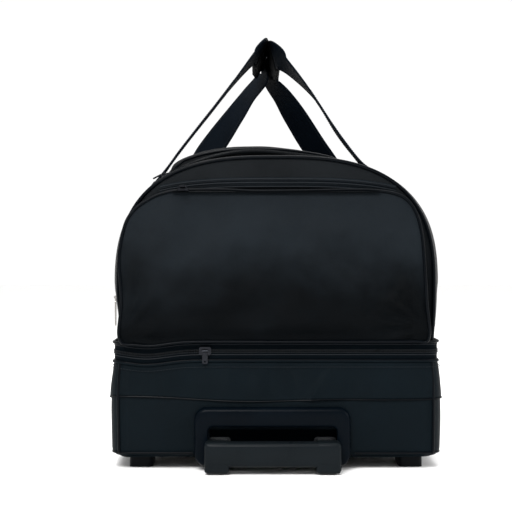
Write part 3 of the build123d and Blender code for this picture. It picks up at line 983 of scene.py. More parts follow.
def teeth(
    path: np.ndarray,
    out: Directions,
    size: tuple[float, float, float],
    pitch: float = TOOTH_PITCH,
) -> Patch:
    """Zip teeth along a path, one small block every pitch mm.

    Args:
        path: (n, 3) line of the teeth.
        out: Outward direction, one for all points or one for each.
        size: Tooth size along the zip, across it and outwards.
        pitch: Distance from tooth to tooth.

    Returns:
        All teeth as one patch.
    """
    run = walked(path)
    at = np.arange(pitch / 2, run[-1], pitch)
    up = unit(sampled(np.broadcast_to(out, path.shape), run, at))
    ahead = unit(sampled(path, run, at + 0.5) - sampled(path, run, at - 0.5))
    return repeated(
        small_block(*size), sampled(path, run, at), ahead, unit(np.cross(up, ahead)), up
    )


def stitches(path: np.ndarray, out: Directions, pitch: float = 3.4) -> Patch:
    """A row of stitches along a path, each lying on the surface."""
    return teeth(path, out, (pitch * 0.62, 0.7, 0.5), pitch)


def zip_rows(
    path: np.ndarray, side: Directions, up: Directions, lift: float
) -> tuple[Patch, list[Patch]]:
    """A zip's tape, and its two rows of teeth.

    Args:
        path: (n, 3) middle line of the tape.
        side: Direction across the tape.
        up: Direction out of it.
        lift: How far the rows lie above the middle line.

    Returns:
        The tape, and the rows.
    """
    tape = swept(path, side, up, rounded(11.5, 1.3, 0.4, 1))
    across, raised = np.asarray(side, float), path + np.asarray(up, float) * lift
    return tape, [teeth(raised + across * k, up, COIL_TOOTH) for k in (-1.0, 1.0)]


# ---------------------------------------------------------------- lower compartment


@dataclass
class LowerCompartment:
    """The fabric tray under the belt zip, with its overlaid band, hem and piping."""

    form: BagForm
    floor: float = 13.0
    top: float = 120.6
    house_in: float = 119.65
    house_run: float = 63.0
    house_top: float = 72.4
    bulge_side: float = 5.0
    bulge_end: float = 2.6
    band_z: tuple[float, float] = (78.5, 118.4)
    band_rows: int = 22
    bottom_cord_z: float = 18.0
    corner_top: float = 117.5
    hem_cord_z: float = 118.9
    stitch_z: float = 112.6
    bezel_x: float = -4.0
    bezel_hole: float = 73.0
    bezel_half: float = 87.0

    def _columns(self, finer: float = 1.0) -> tuple[np.ndarray, np.ndarray]:
        """The plan line with points exactly at the edges of the wheel housings' corners."""
        spot, normal = self.form.plan(0.0, int(70 * finer), int(100 * finer))
        cut_y = self.form.far - self.house_run
        for value, axis in ((cut_y, 1), (self.house_in, 0), (-self.house_in, 0)):
            far = spot[:, 1] > 0
            near_cut = np.abs(spot[:, axis] - value) < 7.0
            straight = np.abs(normal[:, axis]) < 0.01
            pick = far & near_cut & straight
            for sign in (-1, 1):
                other = pick & (np.sign(spot[:, 1 - axis]) == sign)
                if other.any():
                    index = np.flatnonzero(other)
                    best = index[np.argmin(np.abs(spot[index, axis] - value))]
                    spot[best, axis] = value
        return spot, normal

    def _cut(self, spot: np.ndarray) -> np.ndarray:
        """Which points of the plan lie at the wheel housings' corners."""
        side = (np.abs(spot[:, 0]) > 170) & (spot[:, 1] > self.form.far - self.house_run - 0.01)
        end = (spot[:, 1] > 300) & (np.abs(spot[:, 0]) > self.house_in - 0.01)
        return side | end

    def swell(self, spot: np.ndarray, normal: np.ndarray, z: np.ndarray) -> np.ndarray:
        """How far the filled fabric stands out: full low down, nothing at the belt.

        It is larger on the long sides, and held in at the corners and the wheel housings.
        """
        f = self.form
        mid_y = (f.near + f.far) / 2
        lengthwise = np.clip(np.abs(spot[:, 1] - mid_y) / (f.length / 2), 0, 1)
        across = np.clip(np.abs(spot[:, 0]) / f.low_half, 0, 1)
        run = np.where(
            np.abs(normal[:, 0]) > 0.5,
            self.bulge_side * (1 - lengthwise**4) + 2.4,
            self.bulge_end * (1 - across**3),
        )
        calm = np.where(spot[:, 1] > f.far - self.house_run - 30, 0.25, 1.0)
        run = run * calm + 1.6
        up = np.clip((z - self.floor) / (self.top - self.floor), 0, 1)
        wave = np.sin(np.pi * up)
        height = np.where(up < 0.5, 0.8 + 0.2 * wave, wave**0.6)
        return run[:, None] * height[None]

    def crease(self, x: np.ndarray, z: np.ndarray) -> np.ndarray:
        """A fold across the front of the band: a step along a slanting line that fades behind it."""
        q = (x - 46.0) * 0.80 - (z - 94.0) * 0.60
        along = (x - 46.0) * 0.60 + (z - 94.0) * 0.80
        dents = 1.6 * bell(x + 18, 9) - 1.3 * bell(x - 12, 12)
        dents = dents + 1.5 * bell(x + 52, 8) - 1.2 * bell(x - 84, 10)
        fold = 5.2 / (1 + np.exp(-q / 1.3)) * np.exp(-np.maximum(q, 0) / 10) * bell(along, 22)
        return fold + dents * bell(z - 96, 14)

    def surface(self, z: np.ndarray, extra: float) -> tuple[np.ndarray, np.ndarray, np.ndarray]:
        """Points of the wall at heights z, pushed out by extra, and the plan's points and directions.

        Near the floor the wall turns in on a quarter circle.
        """
        spot, normal = self._columns()
        out = self.swell(spot, normal, z) + extra
        tuck = 1 - np.sqrt(np.clip(1 - np.clip((self.floor + 10 - z) / 10, 0, 1) ** 2, 0, 1))
        out = out - tuck[None] * (self.swell(spot, normal, np.array([self.floor])) + 6.5)
        flat = np.broadcast_to(z[None], out.shape)
        x, y = (spot[:, k : k + 1] + normal[:, k : k + 1] * out for k in (0, 1))
        p = np.stack([x, y, flat], axis=-1)
        push = slack(p, 0.9, 95.0, 11) * np.sin(np.pi * np.clip((z - 13) / 107, 0, 1))[None]
        push = push * np.where(self._cut(spot), 0.0, 1.0)[:, None]
        p = p + self._level(normal)[:, None] * push[..., None]
        return self.form.settle(p), spot, normal

    @staticmethod
    def _level(normal: np.ndarray) -> np.ndarray:
        """Plan directions as directions in space."""
        return np.concatenate([normal, 0 * normal[:, :1]], 1)

    def wall(self) -> Patch:
        """The wall of the tray, open at the wheel housings' corners."""
        low, high = np.linspace(self.floor, 24, 7), np.linspace(24, self.top, 30)
        z = np.unique(np.concatenate([low, high, [self.house_top]]))
        p, spot, _ = self.surface(z, 0.0)
        ring = np.concatenate([spot, spot[:1]])
        inside = self._cut(ring)[:-1] & self._cut(ring)[1:]
        keep = ~(inside[:, None] & ((z[:-1] < self.house_top - 0.01)[None]))
        behind = self._near_bezel(ring, self.bezel_hole)
        keep &= ~((behind[:-1] & behind[1:])[:, None] & ((z[:-1] > 14.0) & (z[1:] < 47.0))[None])
        return Patch.grid(p, wrap_u=True, keep=keep).facing(inside=(0.0, 17.0, 60.0))

    def _near_bezel(self, spot: np.ndarray, half: float) -> np.ndarray:
        """Which points of the near end lie within half mm of the bezel's middle."""
        return (np.abs(spot[:, 0] - self.bezel_x) < half) & (spot[:, 1] < self.form.near + 12)

    def underside(self) -> Patch:
        """The flat bottom, with its two far corners left open for the wheel housings."""
        f = self.form
        first, rest = np.linspace(0, 12, 7), np.linspace(f.near + 16, f.far - 1.5, 60)
        y = np.unique(np.concatenate([f.near + 1.4 + first, rest]))
        cut = f.far - self.house_run
        y[np.argmin(np.abs(y - cut))] = cut
        near = np.clip((f.near + f.plan_corner - y) / f.plan_corner, 0, 1)
        half = f.low_half - f.plan_corner + f.plan_corner * np.sqrt(1 - near**2) - 6.0
        x = np.concatenate([np.linspace(-1, -self.house_in / 172, 8), np.linspace(-0.66, 0.66, 25)])
        x = np.concatenate([x, -x[:8][::-1]])
        px = x[None] * half[:, None]
        pz = self.floor + 0.1 + 0.6 * np.sin(y / 17.0)[:, None] * np.sin(px / 23.0)
        p = np.stack([px, np.broadcast_to(y[:, None], px.shape), pz], axis=-1)
        beside = np.abs((x[:-1] + x[1:]) / 2)[None] > self.house_in / 172
        corner_cell = (y[:-1, None] >= cut - 0.1) & beside
        return Patch.grid(p, keep=~corner_cell).facing(towards=(0, 0, -1))

    def band(self) -> Patch:
        """The band sewn over the seam: its lower edge hangs free and stands out a little."""
        rows = np.linspace(0, 1, self.band_rows)
        spot, normal = self._columns(1.6)
        front = (normal[:, 1] < -0.5) * 1.0
        dip = -3.0 * bell(spot[:, 0] - 4, 80) + 2.0 * bell(spot[:, 0] + 150, 50)
        wave = 0.9 * np.sin(spot[:, 0] / 31 + spot[:, 1] / 47)
        low = self.band_z[0] + front * dip + wave
        z = low[:, None] + (self.band_z[1] - low)[:, None] * rows[None]
        out = self.swell(spot, normal, np.linspace(78, 119, self.band_rows))
        lift = 0.9 + 0.5 * (1 - rows) ** 3
        out = out + lift[None] + front[:, None] * self.crease(spot[:, :1], z)
        x, y = (spot[:, k : k + 1] + normal[:, k : k + 1] * out for k in (0, 1))
        p = np.stack([x, y, z], axis=-1)
        edge = np.sin(np.pi * rows)[None] * 0.7 + 0.25 * (1 - rows)[None]
        p = p + self._level(normal)[:, None] * (slack(p, 1.1, 60.0, 5) * edge)[..., None]
        return Patch.grid(self.form.settle(p), wrap_u=True).facing(inside=(0.0, 17.0, 100.0))

    def line(self, z: float, out: float) -> tuple[np.ndarray, np.ndarray]:
        """A line round the wall at one height, with outward directions."""
        p, _, normal = self.surface(np.array([z - 0.01, z]), out)
        return p[:, 1], self._level(normal)

    def bottom_cords(self) -> list[Patch]:
        """Piping round the bottom edge, broken at the trolley bezel and the wheel housings."""
        path, _ = self.line(self.bottom_cord_z, 0.4)
        ring = np.concatenate([path, path])
        cut = np.concatenate([self._cut(path)] * 2)
        free = ~(cut | self._near_bezel(ring, self.bezel_half))
        starts = np.flatnonzero(free[1:] & ~free[:-1]) + 1
        stops = np.flatnonzero(~free[1:] & free[:-1]) + 1
        runs = [(a, stops[stops > a][0]) for a in starts if (stops > a).any() and a < len(path)]
        return [cord_along(ring[a:b], 1.2, UP) for a, b in runs]

    def corner_cords(self) -> list[Patch]:
        """Piping up the four corners, down to the bottom or to the wheel housings."""
        cords = []
        for sx in (-1.0, 1.0):
            for sy, low in ((-1.0, 17.0), (1.0, self.house_top + 1.5)):
                p, _, normal = self.surface(np.linspace(low, self.corner_top, 30), 0.9)
                other_end = normal[:, 1] * sy < 0
                at = int(np.argmin(np.abs(normal[:, 0] * sx - 0.5) + 9.0 * other_end))
                cords.append(cord_along(p[at - 1 : at + 2].mean(0), 1.7, LENGTHWISE))
        return cords

    def trims(self) -> list[Patch]:
        """A stiff strip over each wheel housing, closing the step between housing and fabric."""
        f = self.form
        beside = (166.0, 180.4), (f.far - self.house_run - 7, f.far - 3), 0.0
        behind = (self.house_in - 1, 173.0), (f.far - 11, f.far + 1.4), 0.1
        strips = []
        for sign in (-1.0, 1.0):
            for across, (y0, y1), lift in (beside, behind):
                x0, x1 = sorted(sign * x for x in across)
                low, high = self.house_top - 0.3 + lift, self.house_top + 2.2 + lift
                strips.append(rounded_block((x0, y0, low), (x1, y1, high), 1.1, 2))
        return strips

    def build(self) -> None:
        """Makes the tray, band, hem and piping."""
        shell = [(Patch.join([self.wall(), self.underside()]), Wear.LOWER)]
        Piece("lower_tray", "base", "fabric_lower", ("lower_shell",)).make(shell, wall=2.2)
        top, _ = self.line(self.hem_cord_z, 1.5)
        seam, out = (np.concatenate([v, v[:1]]) for v in self.line(self.stitch_z, 3.0))
        band = self.band()
        edge = band.points.reshape(-1, self.band_rows, 3)[:, 0] - [0, 0, 0.7]
        hem = [
            (cord_along(top, 1.35, UP, True), Wear.LOWER),
            (stitches(seam, out), Wear.THREAD),
            (cord_along(edge, 0.8, UP, True, 6), Wear.PIPING),
            *((strip, Wear.TAPE) for strip in self.trims()),
        ]
        cloth = Piece("lower_band_cloth", "base", "fabric_lower", ("lower_band",))
        cloth.make([(band, Wear.LOWER)], wall=1.0)
        Piece("lower_hem", "base", "fabric_lower").make(hem)
        cords = [(c, Wear.PIPING) for c in self.bottom_cords() + self.corner_cords()]
        Piece("lower_cords", "base", "piping", ("lower_piping",)).make(cords)


@dataclass
class BeltZip:
    """The zip round the bag that joins the two compartments, and the cloth it hinges on."""

    form: BagForm
    middle: float = 129.0
    tooth: tuple[float, float, float] = (1.25, 2.1, 1.5)
    hinge_half: float = 164.0
    hinge_z: tuple[float, float] = (121.0, 139.0)

    def tape(self, low: float, high: float) -> Patch:
        """A tape between two heights, as a thin closed profile with a ridge near each edge."""
        path, side = self.form.rim((low + high) / 2, 0.0)
        h = (high - low) / 2
        inner, face = -2.4, 0.8
        profile = [(inner, -h), (face, -h), (face + 0.5, -h + 0.9), (face + 0.35, 0.0)]
        profile += [(face + 0.5, h - 0.9), (face, h), (inner, h)]
        return swept(path, side, UP, np.array(profile), True)

    def lip(self) -> Patch:
        """The lower tape's inner edge, which stands up behind the teeth."""
        path, side = self.form.rim(self.middle, 0.0)
        return swept(path, side, UP, rounded(0.9, 6.6, 0.3, 1) + [-3.6, 0.0], True)

    def cord(self, z: float, out: float, radius: float, sides: int = 8) -> Patch:
        """A cord round the belt."""
        path, side = self.form.rim(z, 0.0)
        return swept(path, side, UP, circle(radius, sides, (out, 0.0)), True)

    def chain(self, z: float) -> Patch:
        """One half of the coil's teeth, left out along the hinge."""
        path, side = self.form.rim(z, 1.5)
        free = path[:, 1] < self.form.far - 9
        start = int(np.flatnonzero(free & ~np.roll(free, 1))[0])
        order = [k for k in np.roll(np.arange(len(path)), -start) if free[k]]
        return teeth(path[order], side[order], self.tooth)

    def hinge(self) -> None:
        """The strip of cloth at the wheel end that the upper compartment turns on.

        It is made in place and hung on neither compartment.
        """
        low, high = self.hinge_z
        x, z = np.linspace(-self.hinge_half, self.hinge_half, 60), np.linspace(low, high, 14)
        far = self.form.far - 2.6
        gx, gz = np.meshgrid(x, z, indexing="ij")
        sheet = Patch.grid(np.stack([gx, np.full_like(gx, far), gz], -1)).facing(towards=(0, 1, 0))
        crosses = "upper", (0.0, far * MM, low * MM), (0.0, far * MM, high * MM)
        strip = Piece("belt_hinge_cloth", "base", "zip_tape", crosses=crosses)
        strip.make([(sheet, Wear.TAPE)], wall=1.0)

    def build(self) -> None:
        """Makes the upper and lower halves, each riding on its compartment."""
        upper = [
            (self.tape(130.6, 139.2), Wear.TAPE),
            (self.cord(140.3, 2.0, 1.75), Wear.PIPING),
            (self.cord(137.4, 1.3, 0.45, 6), Wear.THREAD),
            (self.chain(131.1), Wear.COIL),
        ]
        lower = [
            (self.tape(120.2, 129.3), Wear.TAPE),
            (self.cord(126.0, 1.2, 0.5, 6), Wear.THREAD),
            (self.chain(128.7), Wear.COIL),
            (self.cord(119.9, 1.9, 1.3), Wear.PIPING),
            (self.lip(), Wear.TAPE),
        ]
        Piece("belt_upper", "upper", "zip_tape", ("belt_zip_upper",)).make(upper)
        Piece("belt_lower", "base", "zip_tape", ("belt_zip_lower",)).make(lower)
        self.hinge()


# ---------------------------------------------------------------- upper compartment


@dataclass
class UpperCompartment:
    """The arched, filled body: one shell from side to side, two end panels, dividing floor."""

    form: BagForm
    mouth_x: tuple[float, float] = (-104.0, 70.0)
    mouth_d: tuple[float, float] = (92.0, 512.0)

    def _angles(self) -> np.ndarray:
        """Evenly spread angles with two exactly at the mouth's edges."""
        angles = self.form.spread(110)[1:-1]
        c = np.abs(np.array(self.mouth_x)) / np.array([self.form.half_left, self.form.half_right])
        exact = np.arccos(-np.sign(self.mouth_x) * c ** (self.form.power / 2))
        for value in exact:
            angles[np.argmin(np.abs(angles - value))] = value
        return angles

    def shell(self) -> Patch:
        """The side-to-side shell with its mouth left open, gently uneven."""
        f = self.form
        ends = np.array([0, 1.5, 4, 8, 13, 19, 26, 34, 43, 52, 62])
        d = np.concatenate([ends, np.linspace(70, f.length - 70, 64), f.length - ends[::-1]])
        d[np.argmin(np.abs(d - self.mouth_d[0]))] = self.mouth_d[0]
        d[np.argmin(np.abs(d - self.mouth_d[1]))] = self.mouth_d[1]
        angles = self._angles()
        p = f.section(angles, 16, d)
        rise = np.clip((p[..., 2] - 139) / 60, 0, 1) * smooth(np.minimum(d, f.length - d) / 40)[:, None]
        around = unit(np.stack([p[..., 0] / 185, 0 * p[..., 0], (p[..., 2] - 190) / 147], -1))
        free = rise * (1 - bell(p[..., 2] - f.zip_z, 12))
        p = p + around * (slack(p, 1.6, 130.0, 3) * free)[..., None]
        x = p[len(d) // 2, :, 0]
        column = (x[:-1] >= self.mouth_x[0] - 1.5) & (x[1:] <= self.mouth_x[1] + 1.5)
        column &= p[len(d) // 2, :-1, 2] > 290
        row = (d[:-1] >= self.mouth_d[0] - 0.1) & (d[1:] <= self.mouth_d[1] + 0.1)
        return Patch.grid(p, keep=~(row[:, None] & column[None])).facing(inside=(0.0, 17.0, 200.0))

    def outline(self, d: float) -> np.ndarray:
        """The closed rim of an end panel at distance d, its flat foot included."""
        f = self.form
        p = f.section(f.spread(90)[1:-1], 10, np.array([d]))[0]
        return np.concatenate([p, np.linspace(p[-1], p[0], 30)[1:-1]])

    def end_panel(self, d: float, bulge: float) -> Patch:
        """An end panel that bulges by bulge mm: lift = bulge (1 - s^2.4)."""
        rim = self.outline(d)
        out = -1.0 if d < 10 else 1.0
        centre = np.array([0.0, rim[40, 1], 225.0])
        s = np.linspace(1, INNERMOST, 26)
        spots = centre + s[:, None, None] * (rim[None] - centre)
        uneven = slack(spots, 1.3, 110.0, 21 + int(d > 10)) * np.sin(np.pi * s)[:, None]
        spots[..., 1] += out * (bulge * (1 - s**2.4)[:, None] + uneven)
        return disc(spots).facing(towards=(0, out, 0))

    def arch_cord(self, d: float, out: float) -> Patch:
        """Piping along the arch of an end panel."""
        f = self.form
        p = f.section(f.spread(120)[1:-1], 14, np.array([d]))[0]
        p[:, 1] += out
        return cord_along(p, 2.0, LENGTHWISE)

    def divider(self) -> Patch:
        """The floor between the compartments, sagging between its seams."""
        f = self.form
        u, v = np.meshgrid(np.linspace(-1, 1, 40), np.linspace(0, 1, 70), indexing="ij")
        x, y = u * 174.5, f.near + 5 + v * (f.length - 10)
        sag = (1 - u**4) * (1 - (2 * v - 1) ** 6)
        z = 140.6 - 1.4 * sag + slack(np.stack([x, y, 0 * x], -1), 0.5, 70.0, 9) * sag
        return Patch.grid(np.stack([x, y, z], -1)).facing(towards=(0, 0, 1))

    def build(self) -> None:
        """Makes the shell, end panels, floor and arch piping."""
        f = self.form
        near, far = self.end_panel(0.0, 1.5), self.end_panel(f.length, 9.0)
        for name, slot, node, patch, wear, wall in (
            ("upper_shell", "fabric_upper", "upper_body", self.shell(), Wear.SHELL, 2.2),
            ("end_panel_near", "fabric_upper", "upper_end_near", near, Wear.SHELL, 2.0),
            ("end_panel_far", "fabric_upper", "upper_end_far", far, Wear.SHELL, 2.0),
            ("inner_floor", "fabric_lining", "divider", self.divider(), Wear.LINING, 1.6),
        ):
            Piece(name, "upper", slot, (node,)).make([(patch, wear)], wall=wall)
        for end, d, out in (("near", 0.0, -0.6), ("far", f.length, 0.6)):
            cord = Piece(f"arch_cord_{end}", "upper", "piping", (f"piping_{end}",))
            cord.make([(self.arch_cord(d, out), Wear.PIPING)])


@dataclass
class EndPocket:
    """The padded pouch on the trolley end, with a piped face, a gusset and a zip along its top."""

    form: BagForm
    zip_z: float = 304.3
    flap_z: float = 316.6
    outline: tuple[tuple[float, float], ...] = (
(-150.0, 141.2), (-100.0, 140.8), (-50.0, 140.6), (0.0, 140.4), (50.0, 140.4),
        (100.0, 140.6), (150.0, 141.0), (166.8, 144.0), (163.6, 186.0), (161.0, 230.0),
        (158.5, 260.0), (152.7, 281.7), (143.0, 296.0), (129.0, 303.0), (107.0, 306.2),
        (80.0, 306.8), (26.0, 306.0), (-22.0, 305.6), (-61.0, 307.2), (-104.5, 306.4),
        (-126.0, 302.5), (-140.0, 296.0), (-154.0, 286.0), (-164.0, 271.0), (-169.6, 246.0),
        (-171.0, 227.0), (-168.5, 186.0), (-171.0, 144.5),
    )

    def rim(self, count: int = 220) -> np.ndarray:
        """The face's outline as x and z."""
        return curve_through(self.outline, count, closed=True)

    def front(self, z: np.ndarray) -> np.ndarray:
        """Distance of the face in front of the end panel: fullest about half-way up."""
        up = np.clip((z - 141) / 167, 0, 1)
        belly = 11.5 + 10.0 * np.sin(np.pi * np.clip(up * 0.62 + 0.16, 0, 1))
        return belly - 6.5 * smooth((up - 0.45) / 0.55) - 5.0 * (1 - smooth((z - 141) / 15))

    def wrinkles(self, x: np.ndarray, z: np.ndarray) -> np.ndarray:
        """Folds drawn towards the two lower corners, and soft dents across the lower half."""
        h = np.zeros_like(x)
        corners = ((162.0, 160.0, 60.0, 11.0, 1.5), (-168.0, 156.0, 55.0, 9.0, 1.2))
        for cx, cz, spread, turns, size in corners:
            dx, dz = x - cx, z - cz
            far = np.hypot(dx, dz)
            angle = np.arctan2(dz, np.abs(dx))
            reach = bell(far - 26, spread * 0.55) * smooth(far / 14)
            h = h + size * np.sin(angle * turns + 0.8) * reach
        dents = (
            (-20.0, 178.0, 46.0, 13.0, 0.35, -2.0), (60.0, 212.0, 58.0, 14.0, -0.25, -1.8),
            (-95.0, 170.0, 40.0, 10.0, 0.1, -1.4), (105.0, 176.0, 34.0, 10.0, 0.5, 1.9),
            (30.0, 160.0, 62.0, 8.0, 0.05, 1.2), (-70.0, 236.0, 70.0, 22.0, 0.2, 1.2),
            (132.0, 190.0, 22.0, 8.0, 1.0, 2.2), (10.0, 262.0, 90.0, 16.0, -0.08, 0.9),
        )
        for cx, cz, long, short, turn, size in dents:
            c, s = math.cos(turn), math.sin(turn)
            a, b = (x - cx) * c + (z - cz) * s, -(x - cx) * s + (z - cz) * c
            h = h + size * bell(a, long) * bell(b, short)
        return 1.7 * h

    def face(self) -> Patch:
        """The stuffed face: rings from the piped rim to the middle, lifted in front of the panel."""
        rim = self.rim()
        s = np.linspace(1, INNERMOST, 46) ** 1.15
        centre = np.array([-4.0, 222.0])
        xz = centre + s[:, None, None] * (rim[None] - centre)
        x, z = xz[..., 0], xz[..., 1]
        crown = 1 - s[:, None] ** 5
        edge = self.front(rim[:, 1])[None]
        out = edge * (1 - crown) + (self.front(z) + 2.0) * crown - 2.2 * (1 - crown)
        inner = smooth((1 - s[:, None]) / 0.08)
        p3 = np.stack([x, 0 * x, z], -1)
        out = out + inner * (self.wrinkles(x, z) + slack(p3, 1.2, 75.0, 31) + slack(p3, 0.5, 32.0, 7))
        points = np.stack([x, self.form.near - out, z], -1)
        patch = disc(points)
        patch.points = self.form.settle(patch.points)
        return patch.facing(towards=(0, -1, 0))

    def gusset(self) -> Patch:
        """The strip between the face's rim and the end panel, sinking a little in its middle."""
        rim = self.rim()
        v = np.linspace(0, 1, 12)[:, None]
        edge = self.front(rim[:, 1])[None] - 2.0
        run = unit(np.roll(rim, -1, 0) - np.roll(rim, 1, 0))
        away = np.stack([run[:, 1], -run[:, 0]], -1)
        sink = (-3.0 - 2.2 * np.sin(np.pi * v) ** 0.8) * smooth(v / 0.18) + 0.4
        grow = sink[..., None] * away[None]
        y = self.form.near - edge * (1 - v) - 0.3 * v
        top = smooth((rim[None, :, 1] - 296) / 6) * smooth(v / 0.3)
        z = rim[None, :, 1] + grow[..., 1]
        z = z + (np.minimum(z, 303.4) - z) * top
        points = np.stack([rim[None, :, 0] + grow[..., 0], y, z], -1)
        strip = Patch.grid(self.form.settle(points), wrap_v=True)
        return strip.facing(inside=(0.0, self.form.near, 220.0))

    def piping(self) -> Patch:
        """Piping round the face."""
        rim = self.rim(300)
        y = self.form.near - self.front(rim[:, 1]) + 1.4
        path = self.form.settle(np.stack([rim[:, 0], y, rim[:, 1]], -1))
        return cord_along(path, 1.75, LENGTHWISE, True)

    def zip(self) -> list[tuple[Patch, Wear]]:
        """Tape and teeth across the top of the gusset, and a folded flap on the panel behind them."""
        x = np.linspace(-113, 113, 90)
        path = np.stack([x, np.full_like(x, self.form.near - 9.5), self.zip_z + 0 * x], -1)
        tape = swept(path, LENGTHWISE, UP, rounded(11.0, 1.0, 0.3, 1))
        rows = [teeth(path + [0, dy, 0.8], UP, (1.25, 1.6, 1.1)) for dy in (-0.9, 0.9)]
        x = np.linspace(-128, 132, 80)
        gains = 0.25 + 0.75 * smooth((130 - np.abs(x - 2)) / 26)
        bow = -9.0 * (np.abs(x - 2) / 130) ** 3.2
        flap = np.stack([x, self.form.near - 0.6 + 0 * x, self.flap_z + bow], -1)
        fold = [(0, -7.5), (2.6, -6.8), (3.1, -5.0), (1.5, -4.0), (2.5, -2.4), (2.7, -0.8)]
        fold += [(1.2, 0.2), (2.0, 1.6), (1.9, 3.2), (0.7, 4.4), (0.0, 4.6)]
        profile = np.array(fold)[None] * np.stack([gains, np.ones_like(gains)], -1)[:, None]
        welt = swept(flap, (0, -1, 0), UP, profile)
        ridges = []
        for out, lift, radius, wear in (
            (3.2, -6.0, 0.55, Wear.THREAD),
            (2.0, -4.1, 0.7, Wear.PIPING),
            (2.8, -1.4, 0.55, Wear.THREAD),
            (1.6, 0.4, 0.7, Wear.PIPING),
            (2.1, 2.6, 0.55, Wear.THREAD),
        ):
            line = flap + [0, 0, lift] + np.array([0, -1, 0]) * (out * gains)[:, None]
            ridges.append((cord_along(line, radius, UP, sides=6), wear))
        teeth_rows = ((row, Wear.COIL) for row in rows)
        return [(tape, Wear.TAPE), *teeth_rows, (welt, Wear.POCKET), *ridges]

    def build(self) -> None:
        """Makes the padded pouch, its piping and its zip."""
        pouch = [(self.face(), Wear.POCKET), (self.gusset(), Wear.POCKET)]
        made = Piece("end_pouch", "upper", "fabric_pocket", ("end_pocket",)).make(pouch, sharp=75)
        Piece("end_pouch_cord", "upper", "piping").make([(self.piping(), Wear.PIPING)])
        Piece("end_pouch_zip", "upper", "zip_tape", ("pocket_zip",)).make(self.zip())


@dataclass
class Side:
    """One long side: a flat zipped pocket and two sewn straps."""

    form: BagForm
    sign: float
    straps: tuple[float, float] = (125.0, 475.0)
    pocket_d: float = 63.0
    pocket_z: tuple[float, float] = (141.5, 182.0)

    def _on(self, d: np.ndarray, z: np.ndarray, out: np.ndarray | float) -> np.ndarray:
        """Points on the side wall, out mm above it."""
        f = self.form
        x = f.wall_x(z, d, np.full_like(z, self.sign)) + out
        return f.settle(np.stack([self.sign * x, f.near + d, z], -1))

    def _face(self, points: np.ndarray) -> Patch:
        """A patch that faces out of this side."""
        return Patch.grid(points).facing(towards=(self.sign, 0, 0))

    def pocket(self) -> Patch:
        """The pocket's panel under its zip, puffed between its seams."""
        low, high = self.pocket_z
        along = np.linspace(self.pocket_d, self.form.length - self.pocket_d, 90)
        d, z = np.meshgrid(along, np.linspace(low, high, 18), indexing="ij")
        v = (z - low) / (high - low)
        u = (d - self.pocket_d) / (self.form.length - 2 * self.pocket_d)
        puff = 1.7 * np.sin(np.pi * v) ** 0.6 * smooth(u / 0.05) * smooth((1 - u) / 0.05)
        p = np.stack([d, z, 0 * z + self.sign], -1)
        uneven = slack(p, 0.6, 70.0, 41 + int(self.sign)) * np.sin(np.pi * v)
        return self._face(self._on(d, z, 1.4 + puff + uneven))

    def zip(self) -> list[tuple[Patch, Wear]]:
        """Tape, two rows of teeth and two folded edges beside them."""
        f = self.form
        d = np.linspace(self.pocket_d, f.length - self.pocket_d, 120)
        z = f.zip_z + 0 * d
        path = self._on(d, z, -0.2)
        path[:, 0] = self.sign * f.zip_surface
        tape, rows = zip_rows(path, UP, (self.sign, 0, 0), 0.55)
        parts = [(tape, Wear.TAPE), *((row, Wear.COIL) for row in rows)]
        for dz, radius in ((-5.9, 1.3), (5.9, 1.5)):
            parts.append((cord_along(self._on(d, z + dz, 0.9), radius, UP), Wear.SHELL))
        return parts

    def sewn_straps(self) -> list[tuple[Patch, Wear]]:
        """Webbing sewn up the side, with stitch rows at its edges and a stitched box at its top."""
        parts: list[tuple[Patch, Wear]] = []
        for centre in self.straps:
            v, u = np.meshgrid(np.linspace(0, 1, 46), np.linspace(-1, 1, 9), indexing="ij")
            z = 194.5 + v * 117.5
            face = self._on(centre + u * WEB_WIDTH / 2, z, 1.9 + 0.5 * (1 - u**2))
            inner = face - np.array([self.sign * 2.4, 0, 0.0])
            parts.append((Patch.tube(np.concatenate([face, inner[:, ::-1]], 1)), Wear.WEBBING))
            rows = [(np.full(60, k * STITCH_OFFSET), np.linspace(197, 310, 60)) for k in (-1, 1)]
            rows += [(np.linspace(-15, 15, 20), np.full(20, k)) for k in (283.0, 309.0, 198.0, 222.0)]
            crossed = ((283.0, 309.0), (309.0, 283.0))
            rows += [(np.linspace(-15, 15, 24), np.linspace(a, b, 24)) for a, b in crossed]
            for du, zz in rows:
                line = self._on(centre + du, zz, 2.5 + 0.4 * (1 - (du / 19) ** 2))
                out = unit(np.array([self.sign, 0.0, 0.25]))
                parts.append((stitches(line, out, 3.2), Wear.THREAD))
        return parts

    def build(self) -> None:
        """Makes the side's pieces."""
        tag = "left" if self.sign < 0 else "right"
        pocket = Piece(f"side_pocket_{tag}_cloth", "upper", "fabric_upper", (f"side_pocket_{tag}",))
        pocket.make([(self.pocket(), Wear.SHELL)], wall=1.2)
        Piece(f"side_zip_{tag}_chain", "upper", "zip_tape", (f"side_zip_{tag}",)).make(self.zip())
        straps = Piece(f"side_straps_{tag}_web", "upper", "webbing", (f"side_straps_{tag}",))
        straps.make(self.sewn_straps())


